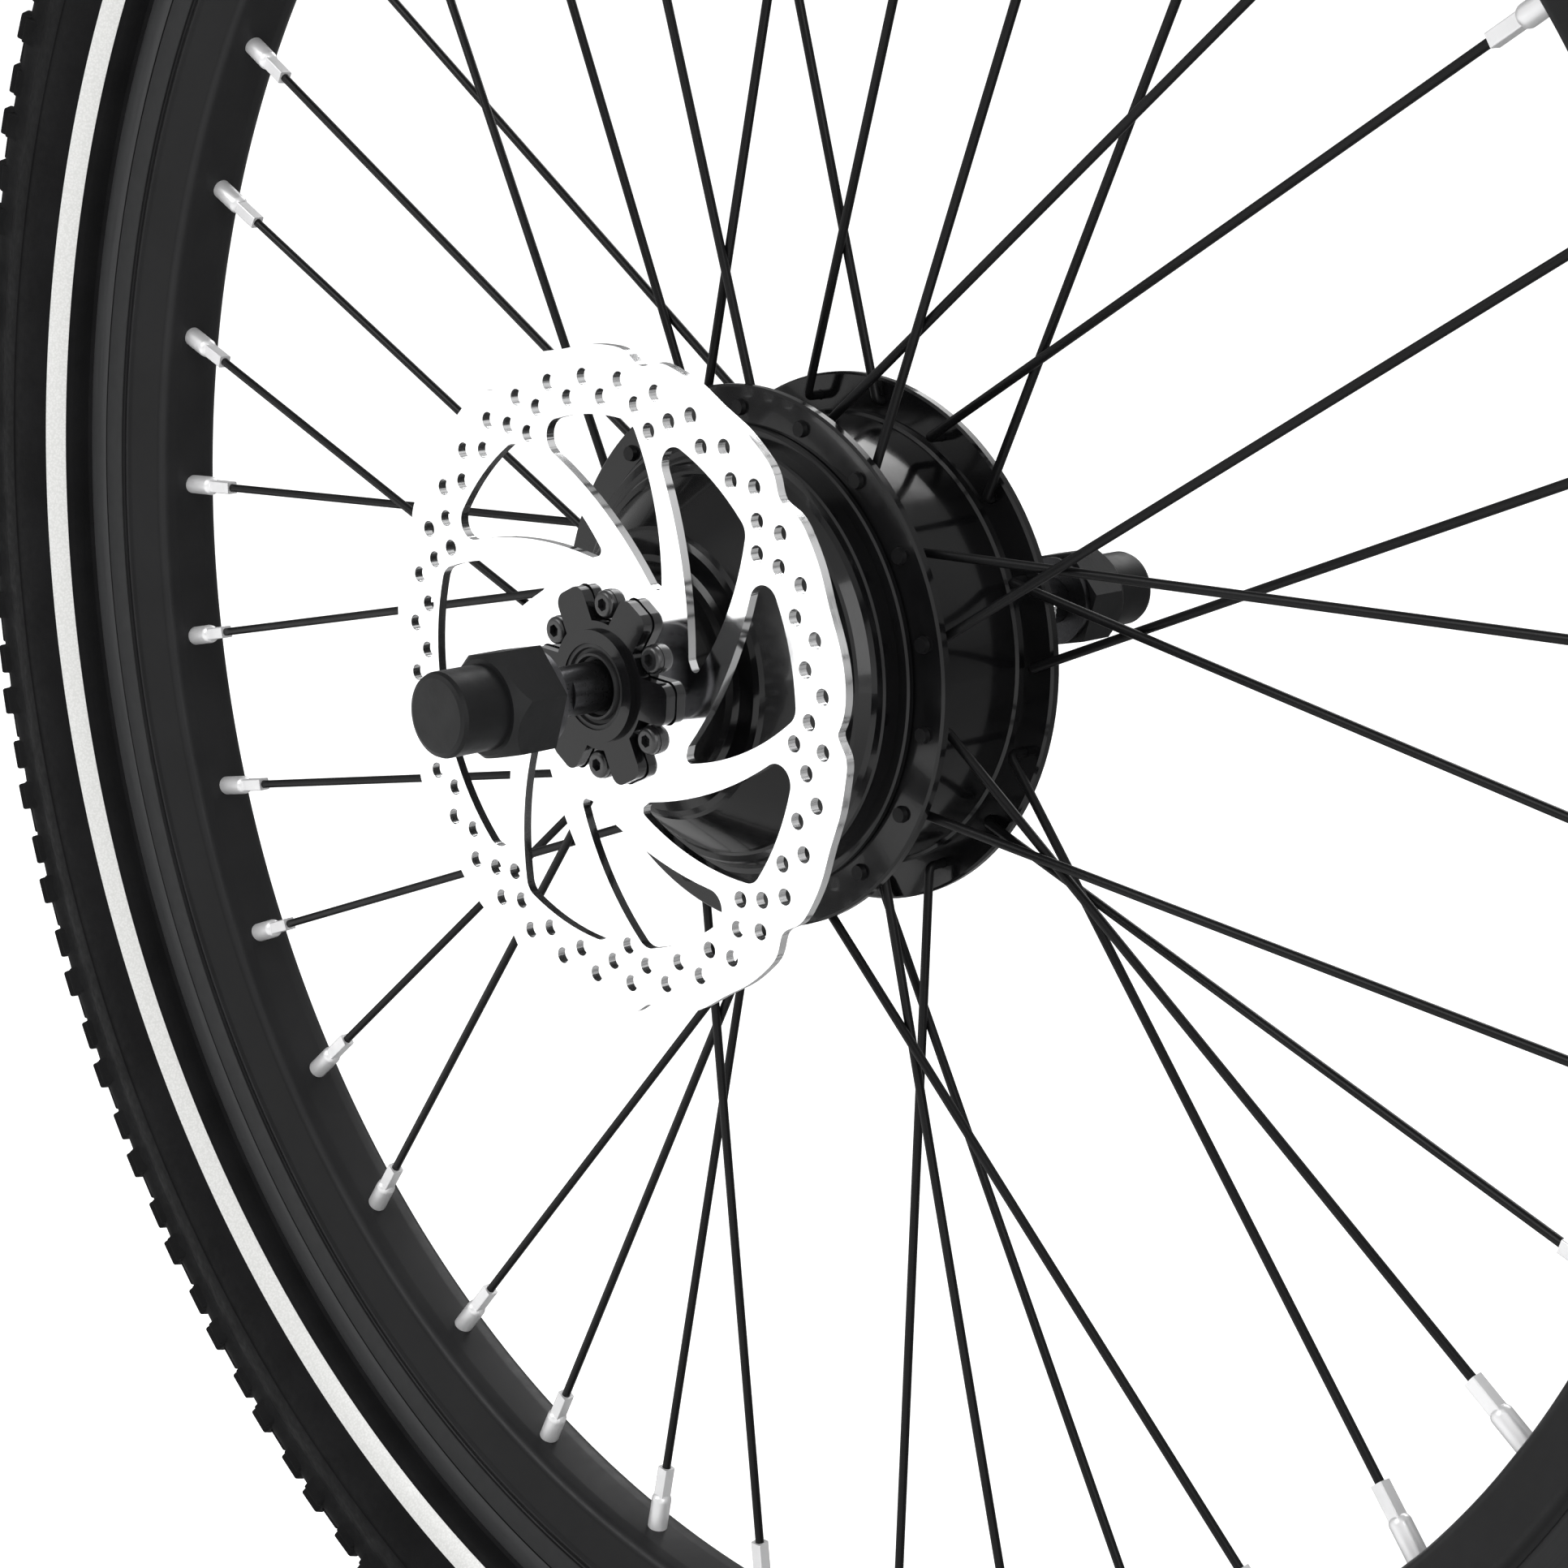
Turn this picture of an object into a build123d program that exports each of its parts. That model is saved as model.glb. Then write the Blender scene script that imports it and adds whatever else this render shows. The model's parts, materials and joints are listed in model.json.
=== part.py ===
"""Hub motor wheel: a geared rear hub motor laced into a double-wall rim with tyre and disc rotor.

The wheel turns about the Y axis. The origin is the wheel centre, +Z is up, +X is the rear of the
bike, +Y is the drive side and -Y the brake side. All lengths are millimetres.
"""

import os
from math import acos, cos, pi, radians, sin, sqrt, tan

from build123d import *

os.makedirs("parts", exist_ok=True)

# ---- driving dimensions ----------------------------------------------------------------------
AXLE_R = 6.0  # M12 axle
AXLE_BODY_R = 7.0  # thicker stretch between the two main bearings
AXLE_FLAT_HALF = 5.0  # 10 mm across the flats
SEAT_Y = 80.0  # from the wheel's centre plane to the shoulder that each dropout sits against
DROPOUT_T = {-1: 7.0, 1: 13.5}  # frame plate between shoulder and washer; drive side has a hanger
WASHER_T = 2.0
NUT_LENGTH = 27.5  # from the washer to the end of the cap
NUT_IN_Y = {hand: SEAT_Y + DROPOUT_T[hand] + WASHER_T for hand in (-1, 1)}
NUT_END_Y = {hand: NUT_IN_Y[hand] + NUT_LENGTH for hand in (-1, 1)}
AXLE_END_Y = {hand: NUT_END_Y[hand] - 4.0 for hand in (-1, 1)}

FLANGE_R = 67.0
FLANGE_IN_Y = 17.5
FLANGE_OUT_Y = 20.5
SPOKE_CIRCLE_R = 61.6
SPOKES_PER_SIDE = 18
SPOKE_R = 1.15
LEFT_HEAD_ANGLE = 11.0  # degrees, first spoke hole of the brake-side flange
RIGHT_HEAD_ANGLE = 1.0
LACING_ANGLE = 20.0  # how far round the rim each spoke leads or trails its flange hole
RIM_TWIST = -3.8  # the rim holes sit this far round from the flange holes

SHELL_R = 57.0
SHELL_BORE_R = 53.5
COVER_LIP_R = 57.8
ROTOR_SEAT_Y = -62.7  # face of the left cover that carries the brake rotor
ROTOR_T = 2.3
ROTOR_R = 80.0
BOLT_CIRCLE_R = 19.5
FIRST_BOLT_ANGLE = 26.0
ROTOR_ARMS = 9

BEARING_R = 14.0
BEARING_W = 8.0
LEFT_BEARING_Y = -66.0  # low end of the left bearing
RIGHT_BEARING_Y = 22.0
BALL_R = 2.2
BALL_CIRCLE_R = 10.0
BALLS = 8

MODULE = 1.0
SUN_TEETH, PLANET_TEETH, RING_TEETH = 22, 29, 80
GEAR_Y0, GEAR_Y1 = -27.0, -15.0
GEAR_PLAY = 0.08  # taken off each flank at the pitch circle
BUSH_R = 8.0  # outside of the bush that carries the sun gear and the magnet can
BUSH_PLAY = 0.05  # so that the bush runs freely on the axle and fits in the gear
PLANET_CIRCLE_R = MODULE * (SUN_TEETH + PLANET_TEETH) / 2
PLANET_ANGLES = (90.0, 210.0, 330.0)

STATOR_R = 45.5
STATOR_SLOTS = 18
STATOR_Y0, STATOR_Y1 = -4.0, 16.0
MAGNETS = 20

RIM_BED_R = 264.0
RIM_EDGE_R = 298.0
RIM_HALF_W = 12.5
BEAD_SEAT_R = 292.0
TYRE_CENTRE_R = 318.6  # centre of the tyre's round section
TYRE_SECTION_R = 25.8
TYRE_WALL_T = 2.9
TREAD_R = 348.0
VALVE_ANGLE = 92.2

CHAIN_PITCH = 12.7
ROLLER_R = 4.0
SPROCKETS = (24, 22, 20, 18, 16, 14, 12)
FIRST_SPROCKET_Y = 34.5
SPROCKET_PITCH = 4.8
SPROCKET_T = 1.8
SPLINE_R, SPLINE_TOP_R, SPLINES = 16.2, 17.4, 9


# ---- helpers ---------------------------------------------------------------------------------
def side(y):
    """The plane at axial place y, seen from the brake side: its own x is X and its own y is Z."""
    return Plane(origin=(0, y, 0), x_dir=(1, 0, 0), z_dir=(0, -1, 0))


def polar(radius, degrees):
    """A point in a side plane."""
    return (radius * cos(radians(degrees)), radius * sin(radians(degrees)))


def outline(*points):
    """A closed outline of (radius, axial place) points, ready to turn about the axle."""
    with BuildSketch(Plane.XY) as flat:
        with BuildLine():
            Polyline(*points, close=True)
        make_face()
    return flat.sketch


def band(r0, r1, y0, y1):
    """The section of a plain ring."""
    return outline((r0, y0), (r1, y0), (r1, y1), (r0, y1))


def mirrored(points):
    """An outline's points followed by their mirror images across the wheel's centre plane."""
    return [*points, *[(r, -y) for r, y in reversed(points)]]


def involute_angle(rb, r):
    """How far an involute of base radius rb has turned at radius r."""
    a = acos(min(1.0, rb / max(r, rb)))
    return tan(a) - a


def gear_face(teeth, r_root, r_tip, play, y, phase=0.0):
    """The face of a spur gear with its first tooth at the phase angle, in degrees."""
    pitch_r = MODULE * teeth / 2
    base_r = pitch_r * cos(radians(20))
    half = pi / (2 * teeth) - play / pitch_r
    at_pitch = involute_angle(base_r, pitch_r)
    steps = 4
    radii = [r_root + (r_tip - r_root) * i / steps for i in range(steps + 1)]
    rising = [(r, -(half + at_pitch - involute_angle(base_r, r))) for r in radii]
    falling = [(r, -a) for r, a in reversed(rising)]
    points = []
    for tooth in range(teeth):
        middle = radians(phase) + 2 * pi * tooth / teeth
        points += [(r * cos(middle + a), r * sin(middle + a)) for r, a in rising + falling]
    with BuildSketch(side(y)) as flat:
        with BuildLine():
            Polyline(*points, close=True)
        make_face()
    return flat.sketch


def polygon_face(across_flats, turn, y):
    """A hexagon with one corner at the turn angle."""
    with BuildSketch(side(y)) as flat:
        RegularPolygon(across_flats / sqrt(3), 6, rotation=turn)
    return flat.sketch


def spline_face(extra, y):
    """The splined outline of the freehub body, made larger all round by extra."""
    with BuildSketch(side(y)) as flat:
        Circle(SPLINE_R + extra)
        with PolarLocations((SPLINE_R + SPLINE_TOP_R) / 2, SPLINES):
            Rectangle(SPLINE_TOP_R - SPLINE_R + 1 + 2 * extra, 4.5 + 2 * extra)
        Circle(SPLINE_TOP_R + extra, mode=Mode.INTERSECT)
    return flat.sketch


def lobed_face(extra, y):
    """The six-lobed pilot of the left cover, made larger all round by extra."""
    with BuildSketch(side(y)) as flat:
        Circle(15.5 + extra)
        with PolarLocations(12.0, 6, start_angle=FIRST_BOLT_ANGLE + 30):
            RectangleRounded(24.0 + 2 * extra, 10.0 + 2 * extra, 3.0)
    return flat.sketch


def valve_plane(radius, outward=True):
    """The plane across the valve at a distance from the axle, facing the tyre or the hub."""
    x, z = polar(1, VALVE_ANGLE)
    facing = (x, 0, z) if outward else (-x, 0, -z)
    return Plane(origin=(radius * x, 0, radius * z), z_dir=facing)


def save(builder, name):
    """Labels a finished piece and writes it."""
    builder.part.label = name
    export_step(builder.part, f"parts/{name}.step")


AWAY = (0, 1, 0)  # extrusions run towards the drive side

# ---- axle and its nuts -----------------------------------------------------------------------
CABLE_Y = 75.0
with BuildPart() as axle:
    left_end, right_end = -AXLE_END_Y[-1], AXLE_END_Y[1]
    revolve(
        outline(
            (0, left_end), (AXLE_R - 1, left_end), (AXLE_R, left_end + 1),
            (AXLE_R, LEFT_BEARING_Y + BEARING_W), (AXLE_BODY_R, LEFT_BEARING_Y + BEARING_W),
            (AXLE_BODY_R, RIGHT_BEARING_Y), (AXLE_R, RIGHT_BEARING_Y),
            (AXLE_R, right_end - 1), (AXLE_R - 1, right_end), (0, right_end),
        ),
        axis=Axis.Y,
    )
    for hand in (-1, 1):
        flat_length = AXLE_END_Y[hand] - SEAT_Y
        with Locations(*[
            (sx * (AXLE_FLAT_HALF + 2), hand * (SEAT_Y + flat_length / 2 + 1), 0) for sx in (-1, 1)
        ]):
            Box(4, flat_length + 2, 20, mode=Mode.SUBTRACT)
    # the bore that brings the motor's wires out: along the axle, then out at the front
    with Locations(Location((0, 45, 0), (90, 0, 0))):
        Cylinder(2.2, 60, mode=Mode.SUBTRACT)
    with Locations(Location((-4, CABLE_Y, 0), (0, 90, 0)), Location((4, 19, 0), (0, 90, 0))):
        Cylinder(2.2, 8, mode=Mode.SUBTRACT)
save(axle, "axle")

with BuildPart() as cable_grommet:
    with BuildSketch(Plane(origin=(-AXLE_R - 0.2, CABLE_Y, 0), z_dir=(-1, 0, 0))):
        Circle(3.6)
        Circle(2.0, mode=Mode.SUBTRACT)
    extrude(amount=5.0, taper=6)
save(cable_grommet, "cable_grommet")

HEX_FLATS = 24.0
HEX_LENGTH = 14.0
CAP_R, CAP_EDGE = 10.0, 1.4
for hand, name in ((-1, "axle_nut_left"), (1, "axle_nut_right")):
    nut_in, nut_end = NUT_IN_Y[hand], NUT_END_Y[hand]
    hex_end = nut_in + HEX_LENGTH
    with BuildPart() as axle_nut:
        extrude(polygon_face(HEX_FLATS, 12.0, hand * nut_in), amount=HEX_LENGTH, dir=(0, hand, 0))
        # a turned chamfer takes the hexagon's outer corners off
        revolve(
            outline(
                (0, hand * nut_in), (14.2, hand * nut_in), (14.2, hand * (hex_end - 4.2)),
                (11.2, hand * hex_end), (0, hand * hex_end),
            ),
            axis=Axis.Y, mode=Mode.INTERSECT,
        )
        revolve(
            outline(
                (0, hand * (hex_end - 1)), (CAP_R, hand * (hex_end - 1)),
                (CAP_R, hand * (nut_end - CAP_EDGE)), (CAP_R - 0.4, hand * (nut_end - 0.4)),
                (CAP_R - CAP_EDGE, hand * nut_end), (0, hand * nut_end),
            ),
            axis=Axis.Y,
        )
        revolve(
            outline(
                (0, hand * nut_in), (AXLE_R + 0.05, hand * nut_in),
                (AXLE_R + 0.05, hand * (AXLE_END_Y[hand] + 1)), (0, hand * (AXLE_END_Y[hand] + 1)),
            ),
            axis=Axis.Y, mode=Mode.SUBTRACT,
        )
    save(axle_nut, name)

for hand, name in ((-1, "axle_washer_left"), (1, "axle_washer_right")):
    with BuildPart() as axle_washer:
        nut_in = NUT_IN_Y[hand]
        revolve(band(0, 11.6, hand * (nut_in - WASHER_T), hand * nut_in), axis=Axis.Y)
        with BuildSketch(side(hand * nut_in)) as washer_hole:
            Circle(AXLE_R + 0.1)
            Rectangle(2 * AXLE_FLAT_HALF + 0.1, 20, mode=Mode.INTERSECT)
        extrude(washer_hole.sketch, amount=8, both=True, mode=Mode.SUBTRACT)
    save(axle_washer, name)

LOCKNUT_Y0, LOCKNUT_Y1 = 62.0, 70.0
with BuildPart() as right_locknut:
    extrude(polygon_face(17.0, 0.0, LOCKNUT_Y0), amount=LOCKNUT_Y1 - LOCKNUT_Y0, dir=AWAY)
    with Locations(Location((0, LOCKNUT_Y0, 0), (90, 0, 0))):
        Cylinder(AXLE_R + 0.05, 40, mode=Mode.SUBTRACT)
save(right_locknut, "right_locknut")

with BuildPart() as right_spacer:
    revolve(band(AXLE_R + 0.05, 8.3, RIGHT_BEARING_Y + BEARING_W, LOCKNUT_Y0), axis=Axis.Y)
save(right_spacer, "right_spacer")

# ---- main bearings ---------------------------------------------------------------------------
for low_y, name in ((LEFT_BEARING_Y, "left_bearing"), (RIGHT_BEARING_Y, "right_bearing")):
    mid_y = low_y + BEARING_W / 2
    with BuildPart() as groove:
        with BuildSketch(Plane.XY):
            with Locations((BALL_CIRCLE_R, mid_y)):
                Circle(BALL_R + 0.1)
        revolve(axis=Axis.Y)
    for r0, r1, part_name in ((AXLE_R, 8.3, "inner_race"), (11.7, BEARING_R, "outer_race")):
        with BuildPart() as race:
            revolve(band(r0, r1, low_y, low_y + BEARING_W), axis=Axis.Y)
            add(groove.part, mode=Mode.SUBTRACT)
        save(race, f"{name}_{part_name}")

with BuildPart() as bearing_balls:
    for mid_y in (LEFT_BEARING_Y + BEARING_W / 2, RIGHT_BEARING_Y + BEARING_W / 2):
        with Locations(*[
            (BALL_CIRCLE_R * cos(2 * pi * i / BALLS), mid_y, BALL_CIRCLE_R * sin(2 * pi * i / BALLS))
            for i in range(BALLS)
        ]):
            Sphere(BALL_R)
save(bearing_balls, "bearing_balls")

# ---- planetary reduction ---------------------------------------------------------------------
CARRIER_Y0, CARRIER_Y1 = -32.5, -28.5
with BuildPart() as clutch_hub:
    revolve(band(AXLE_BODY_R, 11.4, CARRIER_Y0, CARRIER_Y1), axis=Axis.Y)
save(clutch_hub, "clutch_hub")

with BuildPart() as clutch_rollers:
    with BuildSketch(side(CARRIER_Y1)):
        with PolarLocations(13.0, 10):
            Circle(1.5)
    extrude(amount=CARRIER_Y1 - CARRIER_Y0)
save(clutch_rollers, "clutch_rollers")

with BuildPart() as planet_carrier:
    with BuildSketch(side(CARRIER_Y1)):
        Circle(33.0)
        Circle(14.6, mode=Mode.SUBTRACT)
        with PolarLocations(PLANET_CIRCLE_R, 3, start_angle=PLANET_ANGLES[0]):
            Circle(3.0, mode=Mode.SUBTRACT)
        with PolarLocations(24.0, 3, start_angle=PLANET_ANGLES[0] + 60):
            SlotOverall(18, 8, rotation=90, mode=Mode.SUBTRACT)
    extrude(amount=CARRIER_Y1 - CARRIER_Y0)
save(planet_carrier, "planet_carrier")

with BuildPart() as planet_pins:
    with BuildSketch(side(GEAR_Y1 + 1.4)):
        with PolarLocations(PLANET_CIRCLE_R, 3, start_angle=PLANET_ANGLES[0]):
            Circle(3.0)
    extrude(amount=GEAR_Y1 + 1.4 - CARRIER_Y0)
save(planet_pins, "planet_pins")

with BuildPart() as pin_clips:
    with BuildSketch(side(GEAR_Y1 + 0.9)):
        with PolarLocations(PLANET_CIRCLE_R, 3, start_angle=PLANET_ANGLES[0]):
            Circle(4.6)
            Circle(3.0, mode=Mode.SUBTRACT)
    extrude(amount=0.8)
save(pin_clips, "pin_clips")

with BuildPart() as sun_gear:
    extrude(
        gear_face(SUN_TEETH, 9.75, 12.0, GEAR_PLAY, GEAR_Y0),
        amount=GEAR_Y1 + 1 - GEAR_Y0, dir=AWAY,
    )
    with Locations(Location((0, GEAR_Y0, 0), (90, 0, 0))):
        Cylinder(BUSH_R + BUSH_PLAY, 60, mode=Mode.SUBTRACT)
save(sun_gear, "sun_gear")

for number, angle in enumerate(PLANET_ANGLES, 1):
    # the planet's tooth gaps face the sun's teeth, and so also the ring's
    sun_phase = (angle * SUN_TEETH / 360) % 1
    phase = angle + 180 - (0.5 - sun_phase) * 360 / PLANET_TEETH
    x, z = polar(PLANET_CIRCLE_R, angle)
    with BuildPart() as planet_gear:
        face = gear_face(PLANET_TEETH, 13.25, 15.5, GEAR_PLAY, GEAR_Y0, phase)
        extrude(face.moved(Location((x, 0, z))), amount=GEAR_Y1 - GEAR_Y0, dir=AWAY)
        with Locations(Location((x, GEAR_Y0, z), (90, 0, 0))):
            Cylinder(3.05, 60, mode=Mode.SUBTRACT)
    save(planet_gear, f"planet_gear_{number}")

with BuildPart() as ring_gear:
    revolve(band(0, 45.4, GEAR_Y0, GEAR_Y1), axis=Axis.Y)
    # the tooth gaps are shaped like the teeth of an outside gear, half a tooth further round
    extrude(
        gear_face(RING_TEETH, 39.0, 41.25, -GEAR_PLAY, GEAR_Y0 - 1, 180 / RING_TEETH),
        amount=GEAR_Y1 - GEAR_Y0 + 2, dir=AWAY, mode=Mode.SUBTRACT,
    )
save(ring_gear, "ring_gear")

# ---- motor -----------------------------------------------------------------------------------
with BuildPart() as rotor_bush:
    revolve(band(AXLE_BODY_R + BUSH_PLAY, BUSH_R, GEAR_Y0, -5.0), axis=Axis.Y)
save(rotor_bush, "rotor_bush")

CAN_BACK_Y = -12.0
CAN_BORE_R = BUSH_R + BUSH_PLAY
with BuildPart() as magnet_can:
    revolve(
        outline(
            (CAN_BORE_R, GEAR_Y1 + 1), (11.0, GEAR_Y1 + 1), (11.0, CAN_BACK_Y), (51.5, CAN_BACK_Y),
            (52.0, CAN_BACK_Y + 0.5), (52.0, 19.5), (49.0, 19.5), (49.0, CAN_BACK_Y + 2.5),
            (11.0, CAN_BACK_Y + 2.5), (11.0, -5.0), (CAN_BORE_R, -5.0),
        ),
        axis=Axis.Y,
    )
    with BuildSketch(side(CAN_BACK_Y + 3)):
        with PolarLocations(31.0, 6):
            Circle(7.0)
    extrude(amount=4, mode=Mode.SUBTRACT)
save(magnet_can, "magnet_can")

with BuildPart() as magnets:
    revolve(band(46.2, 49.0, -6.0, 18.0), axis=Axis.Y)
    with BuildSketch(side(19.0)):
        with PolarLocations(47.5, MAGNETS):
            Rectangle(8, 1.6)
    extrude(amount=26, mode=Mode.SUBTRACT)
save(magnets, "magnets")

with BuildPart() as stator_core:
    with BuildSketch(side(STATOR_Y1)):
        Circle(STATOR_R)
        Circle(42.6, mode=Mode.SUBTRACT)
        with PolarLocations(44.0, STATOR_SLOTS, start_angle=180 / STATOR_SLOTS):
            Rectangle(6, 2.4, mode=Mode.SUBTRACT)
        with PolarLocations(37.5, STATOR_SLOTS):
            Rectangle(12, 5.0)
        Circle(32.0)
        Circle(27.0, mode=Mode.SUBTRACT)
    extrude(amount=STATOR_Y1 - STATOR_Y0)
save(stator_core, "stator_core")

with BuildPart() as stator_coils:
    coil_box, tooth_box = (9.4, 27.0, 9.6), (12.0, 20.1, 5.1)
    mid_y = (STATOR_Y0 + STATOR_Y1) / 2
    for slot in range(STATOR_SLOTS):
        with BuildPart(mode=Mode.PRIVATE) as coil:
            Box(*coil_box)
            fillet(coil.edges().filter_by(Axis.X), 2.2)
            Box(*tooth_box, mode=Mode.SUBTRACT)
        placed = coil.part.moved(Location((37.4, mid_y, 0))).rotate(Axis.Y, slot * 360 / STATOR_SLOTS)
        add(placed)
save(stator_coils, "stator_coils")

with BuildPart() as stator_carrier:
    revolve(
        outline(
            (AXLE_BODY_R, -3.0), (12.5, -3.0), (12.5, 3.0), (24.0, 3.0), (24.0, -4.0), (27.0, -4.0),
            (27.0, 16.0), (24.0, 16.0), (24.0, 7.0), (12.5, 7.0), (12.5, 13.0), (AXLE_BODY_R, 13.0),
        ),
        axis=Axis.Y,
    )
    with BuildSketch(side(8.0)):
        with PolarLocations(18.2, 6):
            Circle(3.8)
    extrude(amount=6, mode=Mode.SUBTRACT)
    # posts that carry the sensor board
    with BuildSketch(side(18.3)):
        with PolarLocations(25.5, 3):
            Circle(1.4)
    extrude(amount=4)
save(stator_carrier, "stator_carrier")

with BuildPart() as hall_board:
    with BuildSketch(side(19.9)):
        Circle(32.0)
        Circle(18.5, mode=Mode.SUBTRACT)
    extrude(amount=1.6)
    with BuildSketch(side(18.3)):
        with PolarLocations(30.0, 3, start_angle=50, angular_range=40):
            Rectangle(3, 4)
    extrude(amount=1.5)
save(hall_board, "hall_board")

# ---- hub shell, cover and seals --------------------------------------------------------------
WALL_IN_Y = 24.0
BASE_RING_R, BASE_RING_Y = 57.7, 16.0  # a low ring at the foot of each flange
SPINDLE_R = 12.3
SPINDLE_END_Y = 58.0
with BuildPart() as hub_shell:
    revolve(
        outline(
            (SHELL_BORE_R, -FLANGE_OUT_Y), (FLANGE_R - 0.6, -FLANGE_OUT_Y),
            (FLANGE_R, -FLANGE_OUT_Y + 0.6), (FLANGE_R, -FLANGE_IN_Y - 0.6),
            (FLANGE_R - 0.6, -FLANGE_IN_Y), (BASE_RING_R + 0.3, -FLANGE_IN_Y),
            (BASE_RING_R, -BASE_RING_Y), (SHELL_R, -BASE_RING_Y + 0.6),
            (SHELL_R, BASE_RING_Y - 0.6), (BASE_RING_R, BASE_RING_Y),
            (BASE_RING_R + 0.3, FLANGE_IN_Y), (FLANGE_R - 0.6, FLANGE_IN_Y),
            (FLANGE_R, FLANGE_IN_Y + 0.6), (FLANGE_R, FLANGE_OUT_Y - 0.6),
            (FLANGE_R - 0.6, FLANGE_OUT_Y), (57.5, FLANGE_OUT_Y), (57.0, 22.5), (54.0, 24.5),
            (50.0, 26.5), (40.0, 28.6), (28.0, 29.6), (24.0, 30.4), (22.0, 32.0), (13.3, 32.0),
            (13.3, 33.0), (SPINDLE_R, 33.0), (SPINDLE_R, SPINDLE_END_Y), (9.0, SPINDLE_END_Y),
            (9.0, RIGHT_BEARING_Y + BEARING_W), (BEARING_R, RIGHT_BEARING_Y + BEARING_W),
            (BEARING_R, RIGHT_BEARING_Y), (17.5, RIGHT_BEARING_Y), (17.5, WALL_IN_Y),
            (50.5, WALL_IN_Y), (SHELL_BORE_R, 21.0),
        ),
        axis=Axis.Y,
    )
    for first, y in ((LEFT_HEAD_ANGLE, -FLANGE_IN_Y + 1), (RIGHT_HEAD_ANGLE, FLANGE_OUT_Y + 1)):
        with BuildSketch(side(y)):
            with PolarLocations(SPOKE_CIRCLE_R, SPOKES_PER_SIDE, start_angle=first):
                Circle(SPOKE_R + 0.15)
        extrude(amount=5, mode=Mode.SUBTRACT)
save(hub_shell, "hub_shell")

COVER_FACE_Y = -FLANGE_OUT_Y - 0.4  # the gasket lies between this face and the shell
PILOT_Y = -68.0
with BuildPart() as left_cover:
    revolve(
        outline(
            (SHELL_BORE_R - 0.1, -12.6), (SHELL_BORE_R - 0.1, COVER_FACE_Y),
            (COVER_LIP_R, COVER_FACE_Y), (COVER_LIP_R, -22.1), (57.3, -22.6), (54.7, -22.6),
            (54.7, -26.9), (54.2, -27.4), (52.4, -27.4), (51.0, -27.9), (49.3, -30.5),
            (48.7, -31.2), (47.2, -31.4), (46.4, -32.0), (45.8, -32.8), (36.4, -46.2),
            (35.5, -47.5), (34.6, -48.4), (33.2, -49.0), (29.0, -49.4), (27.6, -50.2),
            (27.0, -52.0), (27.0, ROTOR_SEAT_Y), (BEARING_R, ROTOR_SEAT_Y),
            (BEARING_R, LEFT_BEARING_Y + BEARING_W), (16.5, -57.0), (23.0, -50.5), (23.0, -46.0),
            (32.0, -45.6), (42.2, -31.0), (43.6, GEAR_Y0), (45.4, GEAR_Y0), (45.4, -12.6),
        ),
        axis=Axis.Y,
    )
    extrude(lobed_face(0.0, ROTOR_SEAT_Y + 0.5), amount=ROTOR_SEAT_Y + 0.5 - PILOT_Y)
    revolve(band(0, 13.5, PILOT_Y, PILOT_Y - 1.6), axis=Axis.Y)
    revolve(band(0, 10.4, PILOT_Y - 3, LEFT_BEARING_Y + 1), axis=Axis.Y, mode=Mode.SUBTRACT)
    revolve(
        band(0, BEARING_R, LEFT_BEARING_Y, LEFT_BEARING_Y + BEARING_W),
        axis=Axis.Y, mode=Mode.SUBTRACT,
    )
    with BuildSketch(side(ROTOR_SEAT_Y + 10)):
        with PolarLocations(BOLT_CIRCLE_R, 6, start_angle=FIRST_BOLT_ANGLE):
            Circle(2.5)
    extrude(amount=11, mode=Mode.SUBTRACT)
save(left_cover, "left_cover")

with BuildPart() as cover_gasket:
    revolve(band(SHELL_BORE_R + 0.3, COVER_LIP_R - 0.6, COVER_FACE_Y, -FLANGE_OUT_Y), axis=Axis.Y)
save(cover_gasket, "cover_gasket")

with BuildPart() as axle_seal:
    revolve(
        outline(
            (AXLE_R + 0.1, -66.1), (10.35, -66.1), (10.35, -69.2), (9.3, -69.2), (9.0, -68.4),
            (8.2, -68.2), (7.9, -69.4), (7.3, -69.4), (7.0, -68.0), (AXLE_R + 0.1, -67.6),
        ),
        axis=Axis.Y,
    )
save(axle_seal, "axle_seal")

# ---- brake rotor and its bolts ---------------------------------------------------------------
ROTOR_FRONT_Y = ROTOR_SEAT_Y - ROTOR_T
ARM_PITCH = 360 / ROTOR_ARMS
NOTCH_ANGLE = 0.5
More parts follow.
